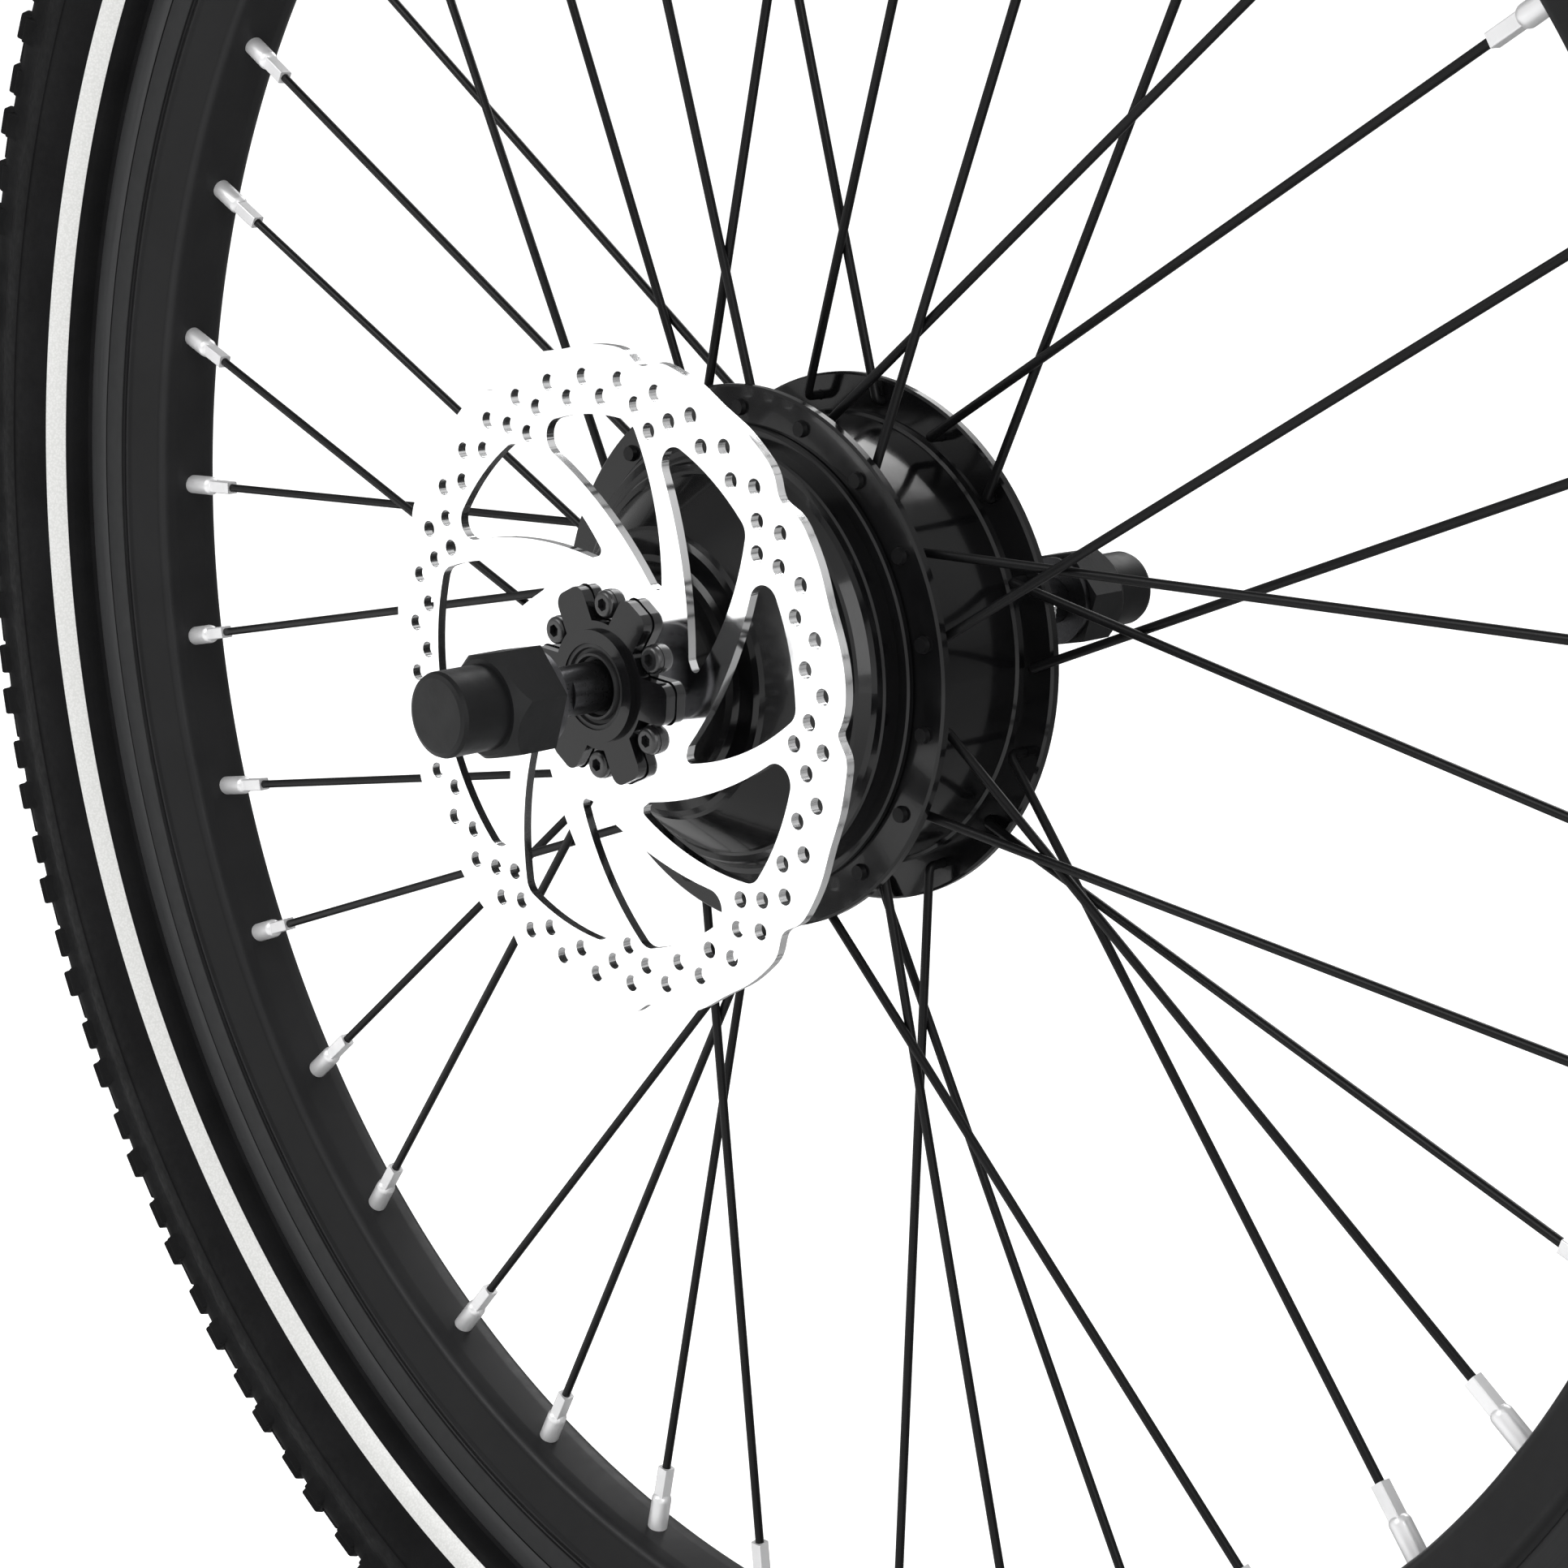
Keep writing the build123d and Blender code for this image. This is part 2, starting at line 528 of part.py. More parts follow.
# edge shape over one pitch: (degrees from the notch, how far inside the full radius)
EDGE_WAVE = ((0.0, 2.8), (3.6, 0.8), (8.0, 0.0), (14.0, 0.2), (20.0, 0.8), (26.0, 0.2),
             (32.0, 0.0), (36.4, 0.8))
with BuildPart() as brake_rotor:
    with BuildSketch(side(ROTOR_SEAT_Y)) as rotor_face:
        with BuildLine():
            Spline(
                *[
                    polar(ROTOR_R - inside, NOTCH_ANGLE + ARM_PITCH * arm + turn)
                    for arm in range(ROTOR_ARMS) for turn, inside in EDGE_WAVE
                ],
                periodic=True,
            )
        make_face()
    extrude(amount=ROTOR_T)
    extrude(lobed_face(0.3, ROTOR_SEAT_Y + 1), amount=ROTOR_T + 2, mode=Mode.SUBTRACT)
    with BuildSketch(side(ROTOR_SEAT_Y + 1)) as window:
        with BuildLine():
            ThreePointArc(polar(30.0, -21.0), polar(45.6, 17.0), polar(63.7, 36.0))
            ThreePointArc(polar(63.7, 36.0), polar(63.7, 19.0), polar(63.7, 1.5))
            ThreePointArc(polar(63.7, 1.5), polar(46.8, -11.8), polar(30.8, -29.0))
            Line(polar(30.8, -29.0), polar(30.0, -21.0))
        make_face()
        corners = window.vertices().sort_by(lambda v: v.X**2 + v.Z**2)
        fillet(corners[:2], 1.5)
        corners = window.vertices().sort_by(lambda v: v.X**2 + v.Z**2)
        fillet(corners[-2:], 4.5)
    for arm in range(ROTOR_ARMS):
        cutter = window.sketch.rotate(Axis.Y, arm * ARM_PITCH)
        extrude(cutter, amount=ROTOR_T + 2, mode=Mode.SUBTRACT)
    with BuildSketch(side(ROTOR_SEAT_Y + 1)):
        with PolarLocations(72.4, 36, start_angle=-4.0):
            Circle(2.0)
        with PolarLocations(67.8, 36, start_angle=1.0):
            Circle(2.0)
        with PolarLocations(63.2, ROTOR_ARMS, start_angle=-4.0):
            Circle(2.0)
        with PolarLocations(BOLT_CIRCLE_R, 6, start_angle=FIRST_BOLT_ANGLE):
            Circle(2.6)
    extrude(amount=ROTOR_T + 2, mode=Mode.SUBTRACT)
save(brake_rotor, "brake_rotor")

BOLT_WASHER_T = 0.7
HEAD_Y = ROTOR_FRONT_Y - BOLT_WASHER_T
with BuildPart() as rotor_bolts:
    with BuildSketch(side(ROTOR_SEAT_Y + 9)):
        with PolarLocations(BOLT_CIRCLE_R, 6, start_angle=FIRST_BOLT_ANGLE):
            Circle(2.45)
    extrude(amount=ROTOR_SEAT_Y + 9 - HEAD_Y)
    with BuildSketch(side(HEAD_Y)):
        with PolarLocations(BOLT_CIRCLE_R, 6, start_angle=FIRST_BOLT_ANGLE):
            Circle(3.35)
    extrude(amount=1.9)
    fillet(rotor_bolts.faces().sort_by(Axis.Y)[:6].edges(), 1.1)
    with BuildSketch(side(ROTOR_FRONT_Y)):
        with PolarLocations(BOLT_CIRCLE_R, 6, start_angle=FIRST_BOLT_ANGLE):
            Circle(3.5)
    extrude(amount=BOLT_WASHER_T)
    with BuildSketch(side(HEAD_Y - 0.3)):
        with PolarLocations(BOLT_CIRCLE_R, 6, start_angle=FIRST_BOLT_ANGLE):
            RegularPolygon(1.6, 6)
    extrude(amount=3.0, mode=Mode.SUBTRACT)
save(rotor_bolts, "rotor_bolts")

# ---- spokes, nipples and rim -----------------------------------------------------------------
NIPPLE_SEAT_R = RIM_BED_R + 2.6
SPOKE_HEAD_R = 2.1
ELBOWS = ((0, 1, 1.9), (1, -1, 4.7))  # pattern step, lead or trail, elbow's depth inside the flange


def spoke_points(hand, head_angle, lead, depth):
    """The head end, elbow and nipple seat of one spoke."""
    rim_angle = head_angle + lead * LACING_ANGLE + RIM_TWIST
    hx, hz = polar(SPOKE_CIRCLE_R, head_angle)
    nx, nz = polar(NIPPLE_SEAT_R, rim_angle)
    head = Vector(hx, hand * (FLANGE_OUT_Y + 0.05), hz)
    elbow = Vector(hx, hand * (FLANGE_IN_Y - depth), hz)
    seat = Vector(nx, hand * 1.0, nz)
    return head, elbow, seat


def pattern(hand, first):
    """Points of every spoke on one side, in order round the flange."""
    found = []
    for number in range(SPOKES_PER_SIDE):
        step, lead, depth = ELBOWS[number % 2]
        found.append(spoke_points(hand, first + 360 / SPOKES_PER_SIDE * number, lead, depth))
    return found


LEFT_SPOKES = pattern(-1, LEFT_HEAD_ANGLE)
RIGHT_SPOKES = pattern(1, RIGHT_HEAD_ANGLE)
for hand, spokes, name in ((-1, LEFT_SPOKES, "spokes_left"), (1, RIGHT_SPOKES, "spokes_right")):
    with BuildPart() as spoke_set:
        for number in range(2):
            head, elbow, seat = spokes[number]
            run = (seat - elbow).normalized()
            with BuildPart(mode=Mode.PRIVATE) as spoke:
                with BuildLine():
                    FilletPolyline(head, elbow, seat - run * 3.0, radius=1.6)
                with BuildSketch(Plane(origin=head, z_dir=(0, -hand, 0))):
                    Circle(SPOKE_R)
                sweep()
                with BuildSketch(Plane(origin=head, z_dir=(0, hand, 0))):
                    Circle(SPOKE_HEAD_R)
                extrude(amount=1.2, taper=14)
            for turn in range(SPOKES_PER_SIDE // 2):
                # a turn by a positive angle here is from +Z towards +X, against the pattern
                add(spoke.part.rotate(Axis.Y, -turn * 720 / SPOKES_PER_SIDE))
    save(spoke_set, name)

NIPPLE_R = 2.75
NIPPLE_BODY_L = 13.2  # from the seat to the end of the rounded shoulder
NIPPLE_L = 21.1
with BuildPart() as nipples:
    for spokes in (LEFT_SPOKES, RIGHT_SPOKES):
        for number in range(2):
            head, elbow, seat = spokes[number]
            inward = (elbow - seat).normalized()
            across = inward.cross(Vector(0, 1, 0)).normalized()
            with BuildPart(mode=Mode.PRIVATE) as nipple:
                with BuildSketch(Plane(origin=seat, x_dir=inward, z_dir=across)):
                    with BuildLine():
                        Polyline(
                            (NIPPLE_BODY_L, 0), (-1.8, 0), (-1.8, 3.0), (0, 3.5), (0, NIPPLE_R),
                            (NIPPLE_BODY_L - 2.0, NIPPLE_R),
                        )
                        ThreePointArc(
                            (NIPPLE_BODY_L - 2.0, NIPPLE_R), (NIPPLE_BODY_L - 0.55, NIPPLE_R - 0.6),
                            (NIPPLE_BODY_L, NIPPLE_R - 2.0),
                        )
                        Line((NIPPLE_BODY_L, NIPPLE_R - 2.0), (NIPPLE_BODY_L, 0))
                    make_face()
                revolve(axis=Axis(seat, inward))
                with BuildSketch(Plane(origin=seat + inward * (NIPPLE_BODY_L - 2.0), z_dir=inward)):
                    RectangleRounded(3.5, 3.5, 0.4)
                extrude(amount=NIPPLE_L - NIPPLE_BODY_L + 2.0)
                with BuildSketch(Plane(origin=seat - inward * 3.0, z_dir=inward)):
                    Circle(SPOKE_R + 0.05)
                extrude(amount=NIPPLE_L + 5.0, mode=Mode.SUBTRACT)
            for turn in range(SPOKES_PER_SIDE // 2):
                add(nipple.part.rotate(Axis.Y, -turn * 720 / SPOKES_PER_SIDE))
save(nipples, "nipples")

with BuildPart() as rim:
    half_outside = [
        (RIM_BED_R, 5.0), (RIM_BED_R + 0.35, 7.4), (RIM_BED_R + 1.2, 9.3), (RIM_BED_R + 2.6, 10.0),
        (277.6, 12.0), (278.3, RIM_HALF_W), (279.6, RIM_HALF_W),
        (280.5, 11.8), (281.2, 11.8), (281.6, RIM_HALF_W), (289.2, RIM_HALF_W), (289.6, 12.1),
        (290.0, RIM_HALF_W), (RIM_EDGE_R - 0.6, RIM_HALF_W), (RIM_EDGE_R, 11.9),
        (RIM_EDGE_R, 11.0), (296.6, 10.4), (295.4, 10.8), (BEAD_SEAT_R, 10.8),
        (BEAD_SEAT_R, 7.4), (290.0, 6.6),
    ]
    half_chamber = [(RIM_BED_R + 2.0, 6.4), (277.6, 10.0), (286.6, 10.0), (288.0, 6.0)]
    revolve(outline(*mirrored(half_outside)), axis=Axis.Y)
    revolve(outline(*mirrored(half_chamber)), axis=Axis.Y, mode=Mode.SUBTRACT)
    for spokes in (LEFT_SPOKES, RIGHT_SPOKES):
        for head, elbow, seat in spokes:
            inward = (elbow - seat).normalized()
            with BuildSketch(Plane(origin=seat - inward * 1.5, z_dir=inward)):
                Circle(NIPPLE_R + 0.15)
            extrude(amount=8, mode=Mode.SUBTRACT)
            with BuildSketch(Plane(origin=seat - inward * 28.0, z_dir=inward)):
                Circle(4.2)
            extrude(amount=10, mode=Mode.SUBTRACT)
    with BuildSketch(valve_plane(RIM_BED_R - 10)):
        Circle(4.3)
    extrude(amount=40, mode=Mode.SUBTRACT)
save(rim, "rim")

with BuildPart() as rim_tape:
    revolve(band(290.05, 290.8, -6.4, 6.4), axis=Axis.Y)
    with BuildSketch(valve_plane(280)):
        Circle(4.3)
    extrude(amount=20, mode=Mode.SUBTRACT)
save(rim_tape, "rim_tape")

# ---- tyre, tube and valve --------------------------------------------------------------------
def section_y(radius, section_r):
    """Half the width of the tyre's round section at a distance from the axle."""
    return sqrt(section_r**2 - (radius - TYRE_CENTRE_R) ** 2)


STRIPE_R0, STRIPE_R1 = 301.4, 306.6
SHOULDER_R = 333.0
CAVITY_R = TYRE_SECTION_R - TYRE_WALL_T
with BuildPart() as tyre:
    with BuildSketch(Plane.XY):
        with BuildLine():
            for hand in (-1, 1):
                low = (300.2, hand * section_y(300.2, TYRE_SECTION_R))
                stripe0 = (STRIPE_R0, hand * section_y(STRIPE_R0, TYRE_SECTION_R))
                stripe1 = (STRIPE_R1, hand * section_y(STRIPE_R1, TYRE_SECTION_R))
                wide = (TYRE_CENTRE_R, hand * TYRE_SECTION_R)
                shoulder = (SHOULDER_R, hand * section_y(SHOULDER_R, TYRE_SECTION_R))
                inner = (300.6, hand * section_y(300.6, CAVITY_R))
                ThreePointArc(
                    (TYRE_CENTRE_R + CAVITY_R, 0), (TYRE_CENTRE_R, hand * CAVITY_R), inner,
                )
                Polyline(
                    inner, (298.0, hand * 9.4), (294.5, hand * 7.9), (292.05, hand * 7.9),
                    (292.05, hand * 10.7), (295.4, hand * 10.7), (296.6, hand * 10.3),
                    (298.15, hand * 10.9), (298.4, hand * 12.6), low, stripe0, stripe1,
                )
                ThreePointArc(stripe1, wide, shoulder)
                Polyline(shoulder, (334.8, hand * 22.8), (341.2, hand * 22.8))
                ThreePointArc((341.2, hand * 22.8), (346.3, hand * 11.6), (TREAD_R, 0))
        make_face()
    revolve(axis=Axis.Y)
save(tyre, "tyre")

for hand, name in ((-1, "stripe_left"), (1, "stripe_right")):
    with BuildPart() as stripe:
        inner_y = section_y(STRIPE_R0, TYRE_SECTION_R)
        outer_y = section_y(STRIPE_R1, TYRE_SECTION_R)
        revolve(
            outline(
                (STRIPE_R0, hand * inner_y), (STRIPE_R1, hand * outer_y),
                (STRIPE_R1 - 0.17, hand * (outer_y + 0.25)), (STRIPE_R0 - 0.17, hand * (inner_y + 0.25)),
            ),
            axis=Axis.Y,
        )
    save(stripe, name)

TUBE_CENTRE_R, TUBE_SECTION_R = 318.6, 21.2
with BuildPart() as inner_tube:
    with BuildSketch(Plane.XY):
        with Locations((TUBE_CENTRE_R, 0)):
            Circle(TUBE_SECTION_R)
            Circle(TUBE_SECTION_R - 1.2, mode=Mode.SUBTRACT)
    revolve(axis=Axis.Y)
    with BuildSketch(valve_plane(292)):
        Circle(4.05)
    extrude(amount=8, mode=Mode.SUBTRACT)
save(inner_tube, "inner_tube")

VALVE_TIP_R = 238.0
with BuildPart() as valve_stem:
    with BuildSketch(valve_plane(VALVE_TIP_R)):
        Circle(3.85)
        Circle(2.6, mode=Mode.SUBTRACT)
    extrude(amount=60)
    with BuildSketch(valve_plane(295.8)):
        Circle(8)
        Circle(2.6, mode=Mode.SUBTRACT)
    extrude(amount=1.4)
save(valve_stem, "valve_stem")

with BuildPart() as valve_core:
    with BuildSketch(valve_plane(VALVE_TIP_R + 1)):
        Circle(2.5)
    extrude(amount=14)
    with BuildSketch(valve_plane(VALVE_TIP_R - 0.6)):
        Circle(0.9)
    extrude(amount=3)
save(valve_core, "valve_core")

with BuildPart() as valve_nut:
    with BuildSketch(valve_plane(RIM_BED_R - 2.8)):
        RegularPolygon(6.4, 6)
        Circle(3.9, mode=Mode.SUBTRACT)
    extrude(amount=2.6)
save(valve_nut, "valve_nut")

with BuildPart() as valve_cap:
    with BuildSketch(valve_plane(VALVE_TIP_R + 8, outward=False)):
        Circle(4.9)
    extrude(amount=11.5, taper=3)
    with BuildSketch(valve_plane(VALVE_TIP_R + 9, outward=False)):
        Circle(3.9)
    extrude(amount=10.5, mode=Mode.SUBTRACT)
save(valve_cap, "valve_cap")

# ---- freehub and sprockets -------------------------------------------------------------------
FREEHUB_Y0, FREEHUB_Y1 = 33.2, 67.0
with BuildPart() as freehub_body:
    extrude(spline_face(0.0, FREEHUB_Y0), amount=FREEHUB_Y1 - FREEHUB_Y0, dir=AWAY)
    revolve(
        outline(
            (0, 30), (SPINDLE_R + 0.05, 30), (SPINDLE_R + 0.05, SPINDLE_END_Y + 1),
            (13.2, SPINDLE_END_Y + 2), (13.2, 70), (0, 70),
        ),
        axis=Axis.Y, mode=Mode.SUBTRACT,
    )
save(freehub_body, "freehub_body")

with BuildPart() as ratchet_ring:
    with BuildSketch(side(32.95)):
        Circle(20.5)
        Circle(14.0, mode=Mode.SUBTRACT)
        with PolarLocations(19.8, 24):
            Rectangle(2.0, 2.2, rotation=30, mode=Mode.SUBTRACT)
    extrude(amount=0.9)
save(ratchet_ring, "ratchet_ring")


def sprocket_face(teeth, y):
    """One sprocket's tooth outline: a round seat for each roller and a short tooth between."""
    pitch_r = CHAIN_PITCH / (2 * sin(pi / teeth))
    seat = ROLLER_R / pitch_r * 180 / pi
    tip_r = pitch_r + 2.6
    tip = 0.8 / pitch_r * 180 / pi
    step = 360 / teeth
    with BuildSketch(side(y)) as flat:
        with BuildLine():
            for tooth in range(teeth):
                here = tooth * step
                ThreePointArc(
                    polar(pitch_r, here - seat), polar(pitch_r - ROLLER_R, here),
                    polar(pitch_r, here + seat),
                )
                Polyline(
                    polar(pitch_r, here + seat), polar(tip_r, here + step / 2 - tip),
                    polar(tip_r, here + step / 2 + tip), polar(pitch_r, here + step - seat),
                )
        make_face()
    return flat.sketch


for place, teeth in enumerate(SPROCKETS):
    y = FIRST_SPROCKET_Y + place * SPROCKET_PITCH
    with BuildPart() as sprocket:
        extrude(sprocket_face(teeth, y), amount=SPROCKET_T, dir=AWAY)
        extrude(spline_face(0.08, y - 1), amount=SPROCKET_T + 2, dir=AWAY, mode=Mode.SUBTRACT)
        root_r = CHAIN_PITCH / (2 * sin(pi / teeth)) - ROLLER_R
        if root_r > 30:
            hole_r = (root_r - SPLINE_TOP_R - 7) / 2
            with BuildSketch(side(y + SPROCKET_T + 1)):
                with PolarLocations((root_r + SPLINE_TOP_R) / 2 + 0.5, 8):
                    Circle(hole_r * 0.8)
            extrude(amount=SPROCKET_T + 2, mode=Mode.SUBTRACT)
    save(sprocket, f"sprocket_{teeth}t")

with BuildPart() as sprocket_spacers:
    for place in range(len(SPROCKETS) - 1):
        y = FIRST_SPROCKET_Y + place * SPROCKET_PITCH + SPROCKET_T
        revolve(band(SPLINE_TOP_R + 0.1, 19.6, y, y + SPROCKET_PITCH - SPROCKET_T), axis=Axis.Y)
save(sprocket_spacers, "sprocket_spacers")

LOCKRING_Y = FIRST_SPROCKET_Y + 6 * SPROCKET_PITCH + SPROCKET_T
with BuildPart() as cassette_lockring:
    revolve(band(13.6, 20.0, FREEHUB_Y1 + 0.05, FREEHUB_Y1 + 2.4), axis=Axis.Y)
    revolve(band(SPLINE_TOP_R + 0.1, 19.2, LOCKRING_Y, FREEHUB_Y1 + 0.1), axis=Axis.Y)
    with BuildSketch(side(FREEHUB_Y1 + 4)):
        with PolarLocations(14.0, 12):
            Rectangle(2.4, 2.2)
    extrude(amount=3.5, mode=Mode.SUBTRACT)
save(cassette_lockring, "cassette_lockring")
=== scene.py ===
"""The looks of the hub motor wheel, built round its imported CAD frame.

Everything is in metres in the CAD frame: the wheel turns about Y, +Z is up, -Y is the brake side.
Lengths in the dimensions below are millimetres, turned to metres where a mesh is made.
"""

import json
import math

import bpy
import numpy as np
from mathutils import Matrix, Vector


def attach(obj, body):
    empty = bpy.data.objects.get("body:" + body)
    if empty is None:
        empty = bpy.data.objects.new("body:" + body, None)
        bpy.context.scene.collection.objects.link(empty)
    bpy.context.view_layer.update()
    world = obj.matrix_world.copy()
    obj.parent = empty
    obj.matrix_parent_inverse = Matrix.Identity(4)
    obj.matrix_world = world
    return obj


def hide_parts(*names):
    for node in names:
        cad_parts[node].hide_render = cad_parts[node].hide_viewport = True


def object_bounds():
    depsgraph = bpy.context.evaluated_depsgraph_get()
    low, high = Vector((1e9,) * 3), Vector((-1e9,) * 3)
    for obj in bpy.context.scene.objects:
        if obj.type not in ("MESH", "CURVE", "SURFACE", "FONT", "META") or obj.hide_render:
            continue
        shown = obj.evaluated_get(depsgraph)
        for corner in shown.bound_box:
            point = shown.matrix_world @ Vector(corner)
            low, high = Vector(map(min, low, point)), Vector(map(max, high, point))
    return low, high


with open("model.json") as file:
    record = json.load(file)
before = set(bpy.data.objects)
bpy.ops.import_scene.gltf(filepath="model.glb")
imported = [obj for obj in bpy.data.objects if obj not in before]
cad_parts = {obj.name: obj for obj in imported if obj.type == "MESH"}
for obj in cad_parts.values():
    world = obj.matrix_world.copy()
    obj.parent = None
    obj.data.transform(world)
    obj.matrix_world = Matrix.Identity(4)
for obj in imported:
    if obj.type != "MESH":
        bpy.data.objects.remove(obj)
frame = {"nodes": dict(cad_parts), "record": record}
cad_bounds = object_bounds()
nodes = frame["nodes"]

MM = 0.001
STEPS_ROUND = 1440  # facets round the big turned pieces

# rim and tyre, all radii from the axle
RIM_HOLES = 36
FIRST_RIM_HOLE = 7.2  # degrees
BED_R = 264.0
BED_EDGE_R = 265.9  # where the bed's rounded edge ends
TRACK_R0, TRACK_R1 = 281.8, 297.8  # braking bands of the rim
WEAR_LINE_R = 289.6
TYRE_CENTRE_R = 318.6
SECTION_R = 25.8
WALL_T = 3.0
RIDGE_R = 319.8
RIDGE_HEIGHT = 0.32
SHOULDER_R = 335.5
WAVE_R = 335.0  # where the lengths of the shoulder's waves are measured
STRIPE_R0, STRIPE_R1 = 301.4, 306.6
STRIPE_SINK, STRIPE_PROUD = 0.3, 0.16  # the band's back and face, from the sidewall's surface
CROWN_CENTRE_R = 303.0
CROWN_BASE_R = 42.6  # section radius of the tread's foot about the crown centre
TREAD_R = 346.0  # where block lengths are measured
TREAD_PITCHES = 70
FIRST_PITCH = 0.03  # degrees
CARCASS_STEPS = 20 * TREAD_PITCHES

# brake rotor
PAD_TRACK_R = 63.5  # inner edge of the pads' track

# camera, in metres and radians
CAMERA_PLACE = (0.6027, -0.5933, 0.1648)
CAMERA_AZIMUTH = 0.799  # round from looking along +Y
CAMERA_DROP = 0.232  # below level
CAMERA_LENS = 79.39


# ---- small mesh tools ------------------------------------------------------------------------
def add_mesh(name, points, faces, smooth=True):
    """A new mesh object from points in millimetres."""
    mesh = bpy.data.meshes.new(name)
    mesh.from_pydata([tuple(p) for p in np.asarray(points) * MM], [], [tuple(f) for f in faces])
    mesh.validate()
    mesh.update()
    mesh.polygons.foreach_set("use_smooth", [smooth] * len(mesh.polygons))
    piece = bpy.data.objects.new(name, mesh)
    bpy.context.scene.collection.objects.link(piece)
    return piece


def sharp_by_angle(piece, degrees):
    """Marks the edges that turn by more than an angle as sharp."""
    piece.data.set_sharp_from_angle(angle=math.radians(degrees))


def turned(name, profile, steps, sharp, shift=None):
    """A closed profile of (radius, y) points turned about the axle.

    shift(radius, y, angle in degrees) gives an extra (radius, y) for each point.
    """
    ring = np.array(profile, float)
    count = len(ring)
    angles = np.arange(steps) * 360.0 / steps
    grid_r = np.repeat(ring[None, :, 0], steps, 0)
    grid_y = np.repeat(ring[None, :, 1], steps, 0)
    grid_a = np.repeat(angles[:, None], count, 1)
    if shift is not None:
        extra_r, extra_y = shift(grid_r, grid_y, grid_a)
        grid_r = grid_r + extra_r
        grid_y = grid_y + extra_y
    turn = np.radians(grid_a)
    points = np.stack([grid_r * np.cos(turn), grid_y, grid_r * np.sin(turn)], -1).reshape(-1, 3)
    here = np.arange(steps)[:, None] * count + np.arange(count)[None, :]
    ahead = np.roll(here, -1, 1)
    beside = np.roll(here, -1, 0)
    across = np.roll(beside, -1, 1)
    faces = np.stack([here, ahead, across, beside], -1).reshape(-1, 4)
    # outward faces need the profile to run anticlockwise in (radius, y)
    area = np.sum(ring[:, 0] * np.roll(ring[:, 1], -1) - np.roll(ring[:, 0], -1) * ring[:, 1])
    if area < 0:
        faces = faces[:, ::-1]
    piece = add_mesh(name, points, faces.tolist())
    sharp_by_angle(piece, sharp)
    return piece


# ---- materials -------------------------------------------------------------------------------
class Shader:
    """A node material with one principled shader, and short ways to feed it."""

    def __init__(self, name, colour, metallic=0.0, roughness=0.5, **constants):
        self.material = bpy.data.materials.new(name)
        self.material.use_nodes = True
        self.tree = self.material.node_tree
        self.out = self.tree.nodes["Principled BSDF"]
        self.out.inputs["Base Color"].default_value = (*colour, 1)
        self.out.inputs["Metallic"].default_value = metallic
        self.out.inputs["Roughness"].default_value = roughness
        for key, value in constants.items():
            self.out.inputs[key.replace("_", " ")].default_value = value
        self.place = self.node("ShaderNodeTexCoord").outputs["Object"]

    def node(self, kind, **settings):
        made = self.tree.nodes.new(kind)
        for key, value in settings.items():
            setattr(made, key, value)
        return made

    def link(self, source, target):
        self.tree.links.new(source, target)

    def math(self, operation, a, b=None):
        made = self.node("ShaderNodeMath", operation=operation)
        for socket, value in zip(made.inputs, (a, b)):
            if value is None:
                continue
            if isinstance(value, (int, float)):
                socket.default_value = value
            else:
                self.link(value, socket)
        return made.outputs[0]

    def noise(self, scale, detail, place=None):
        """Noise from 0 to 1 over the piece; scale counts features per metre."""
        made = self.node("ShaderNodeTexNoise")
        made.inputs["Scale"].default_value = scale
        made.inputs["Detail"].default_value = detail
        self.link(place or self.place, made.inputs["Vector"])
        return made.outputs["Fac"]

    def ramp(self, value, low, high, start=0.0, end=1.0):
        """Maps a value's stretch from low to high onto start to end."""
        made = self.node("ShaderNodeMapRange")
        numbers = {"From Min": low, "From Max": high, "To Min": start, "To Max": end}
        for key, number in numbers.items():
            made.inputs[key].default_value = number
        self.link(value, made.inputs["Value"])
        return made.outputs["Result"]

    def step(self, value, edge, blur):
        """Goes from 0 to 1 past an edge in millimetres, or from 1 to 0 if the blur is negative."""
        return self.ramp(value, (edge - blur) * MM, (edge + blur) * MM)

    def mix(self, amount, first, second):
        """A colour between two colours."""
        made = self.node("ShaderNodeMix", data_type="RGBA")
        self.link(amount, made.inputs["Factor"])
        for key, colour in ((6, first), (7, second)):
            if isinstance(colour, tuple):
                made.inputs[key].default_value = (*colour, 1)
            else:
                self.link(colour, made.inputs[key])
        return made.outputs[2]

    def colour(self, source):
        self.link(source, self.out.inputs["Base Color"])

    def rough(self, source):
        self.link(source, self.out.inputs["Roughness"])

    def bump(self, height, strength, distance):
        """Bump whose height runs from 0 to 1 over a distance in metres."""
        made = self.node("ShaderNodeBump")
        made.inputs["Strength"].default_value = strength
        made.inputs["Distance"].default_value = distance
        self.link(height, made.inputs["Height"])
        self.link(made.outputs[0], self.out.inputs["Normal"])

    def polar(self):
        """(distance from the axle, angle round it from -pi to pi, y) as three values."""
        split = self.node("ShaderNodeSeparateXYZ")
        self.link(self.place, split.inputs[0])
        x, y, z = split.outputs
        square = self.math("ADD", self.math("MULTIPLY", x, x), self.math("MULTIPLY", z, z))
        return self.math("SQRT", square), self.math("ARCTAN2", z, x), y

    def along_ring(self, per_radian):
        """Coordinates that run round the axle, for marks that follow a turned surface."""
        radius, angle, y = self.polar()
        made = self.node("ShaderNodeCombineXYZ")
        self.link(radius, made.inputs[0])
        self.link(self.math("MULTIPLY", angle, per_radian), made.inputs[1])
        self.link(y, made.inputs[2])
        return made.outputs[0]


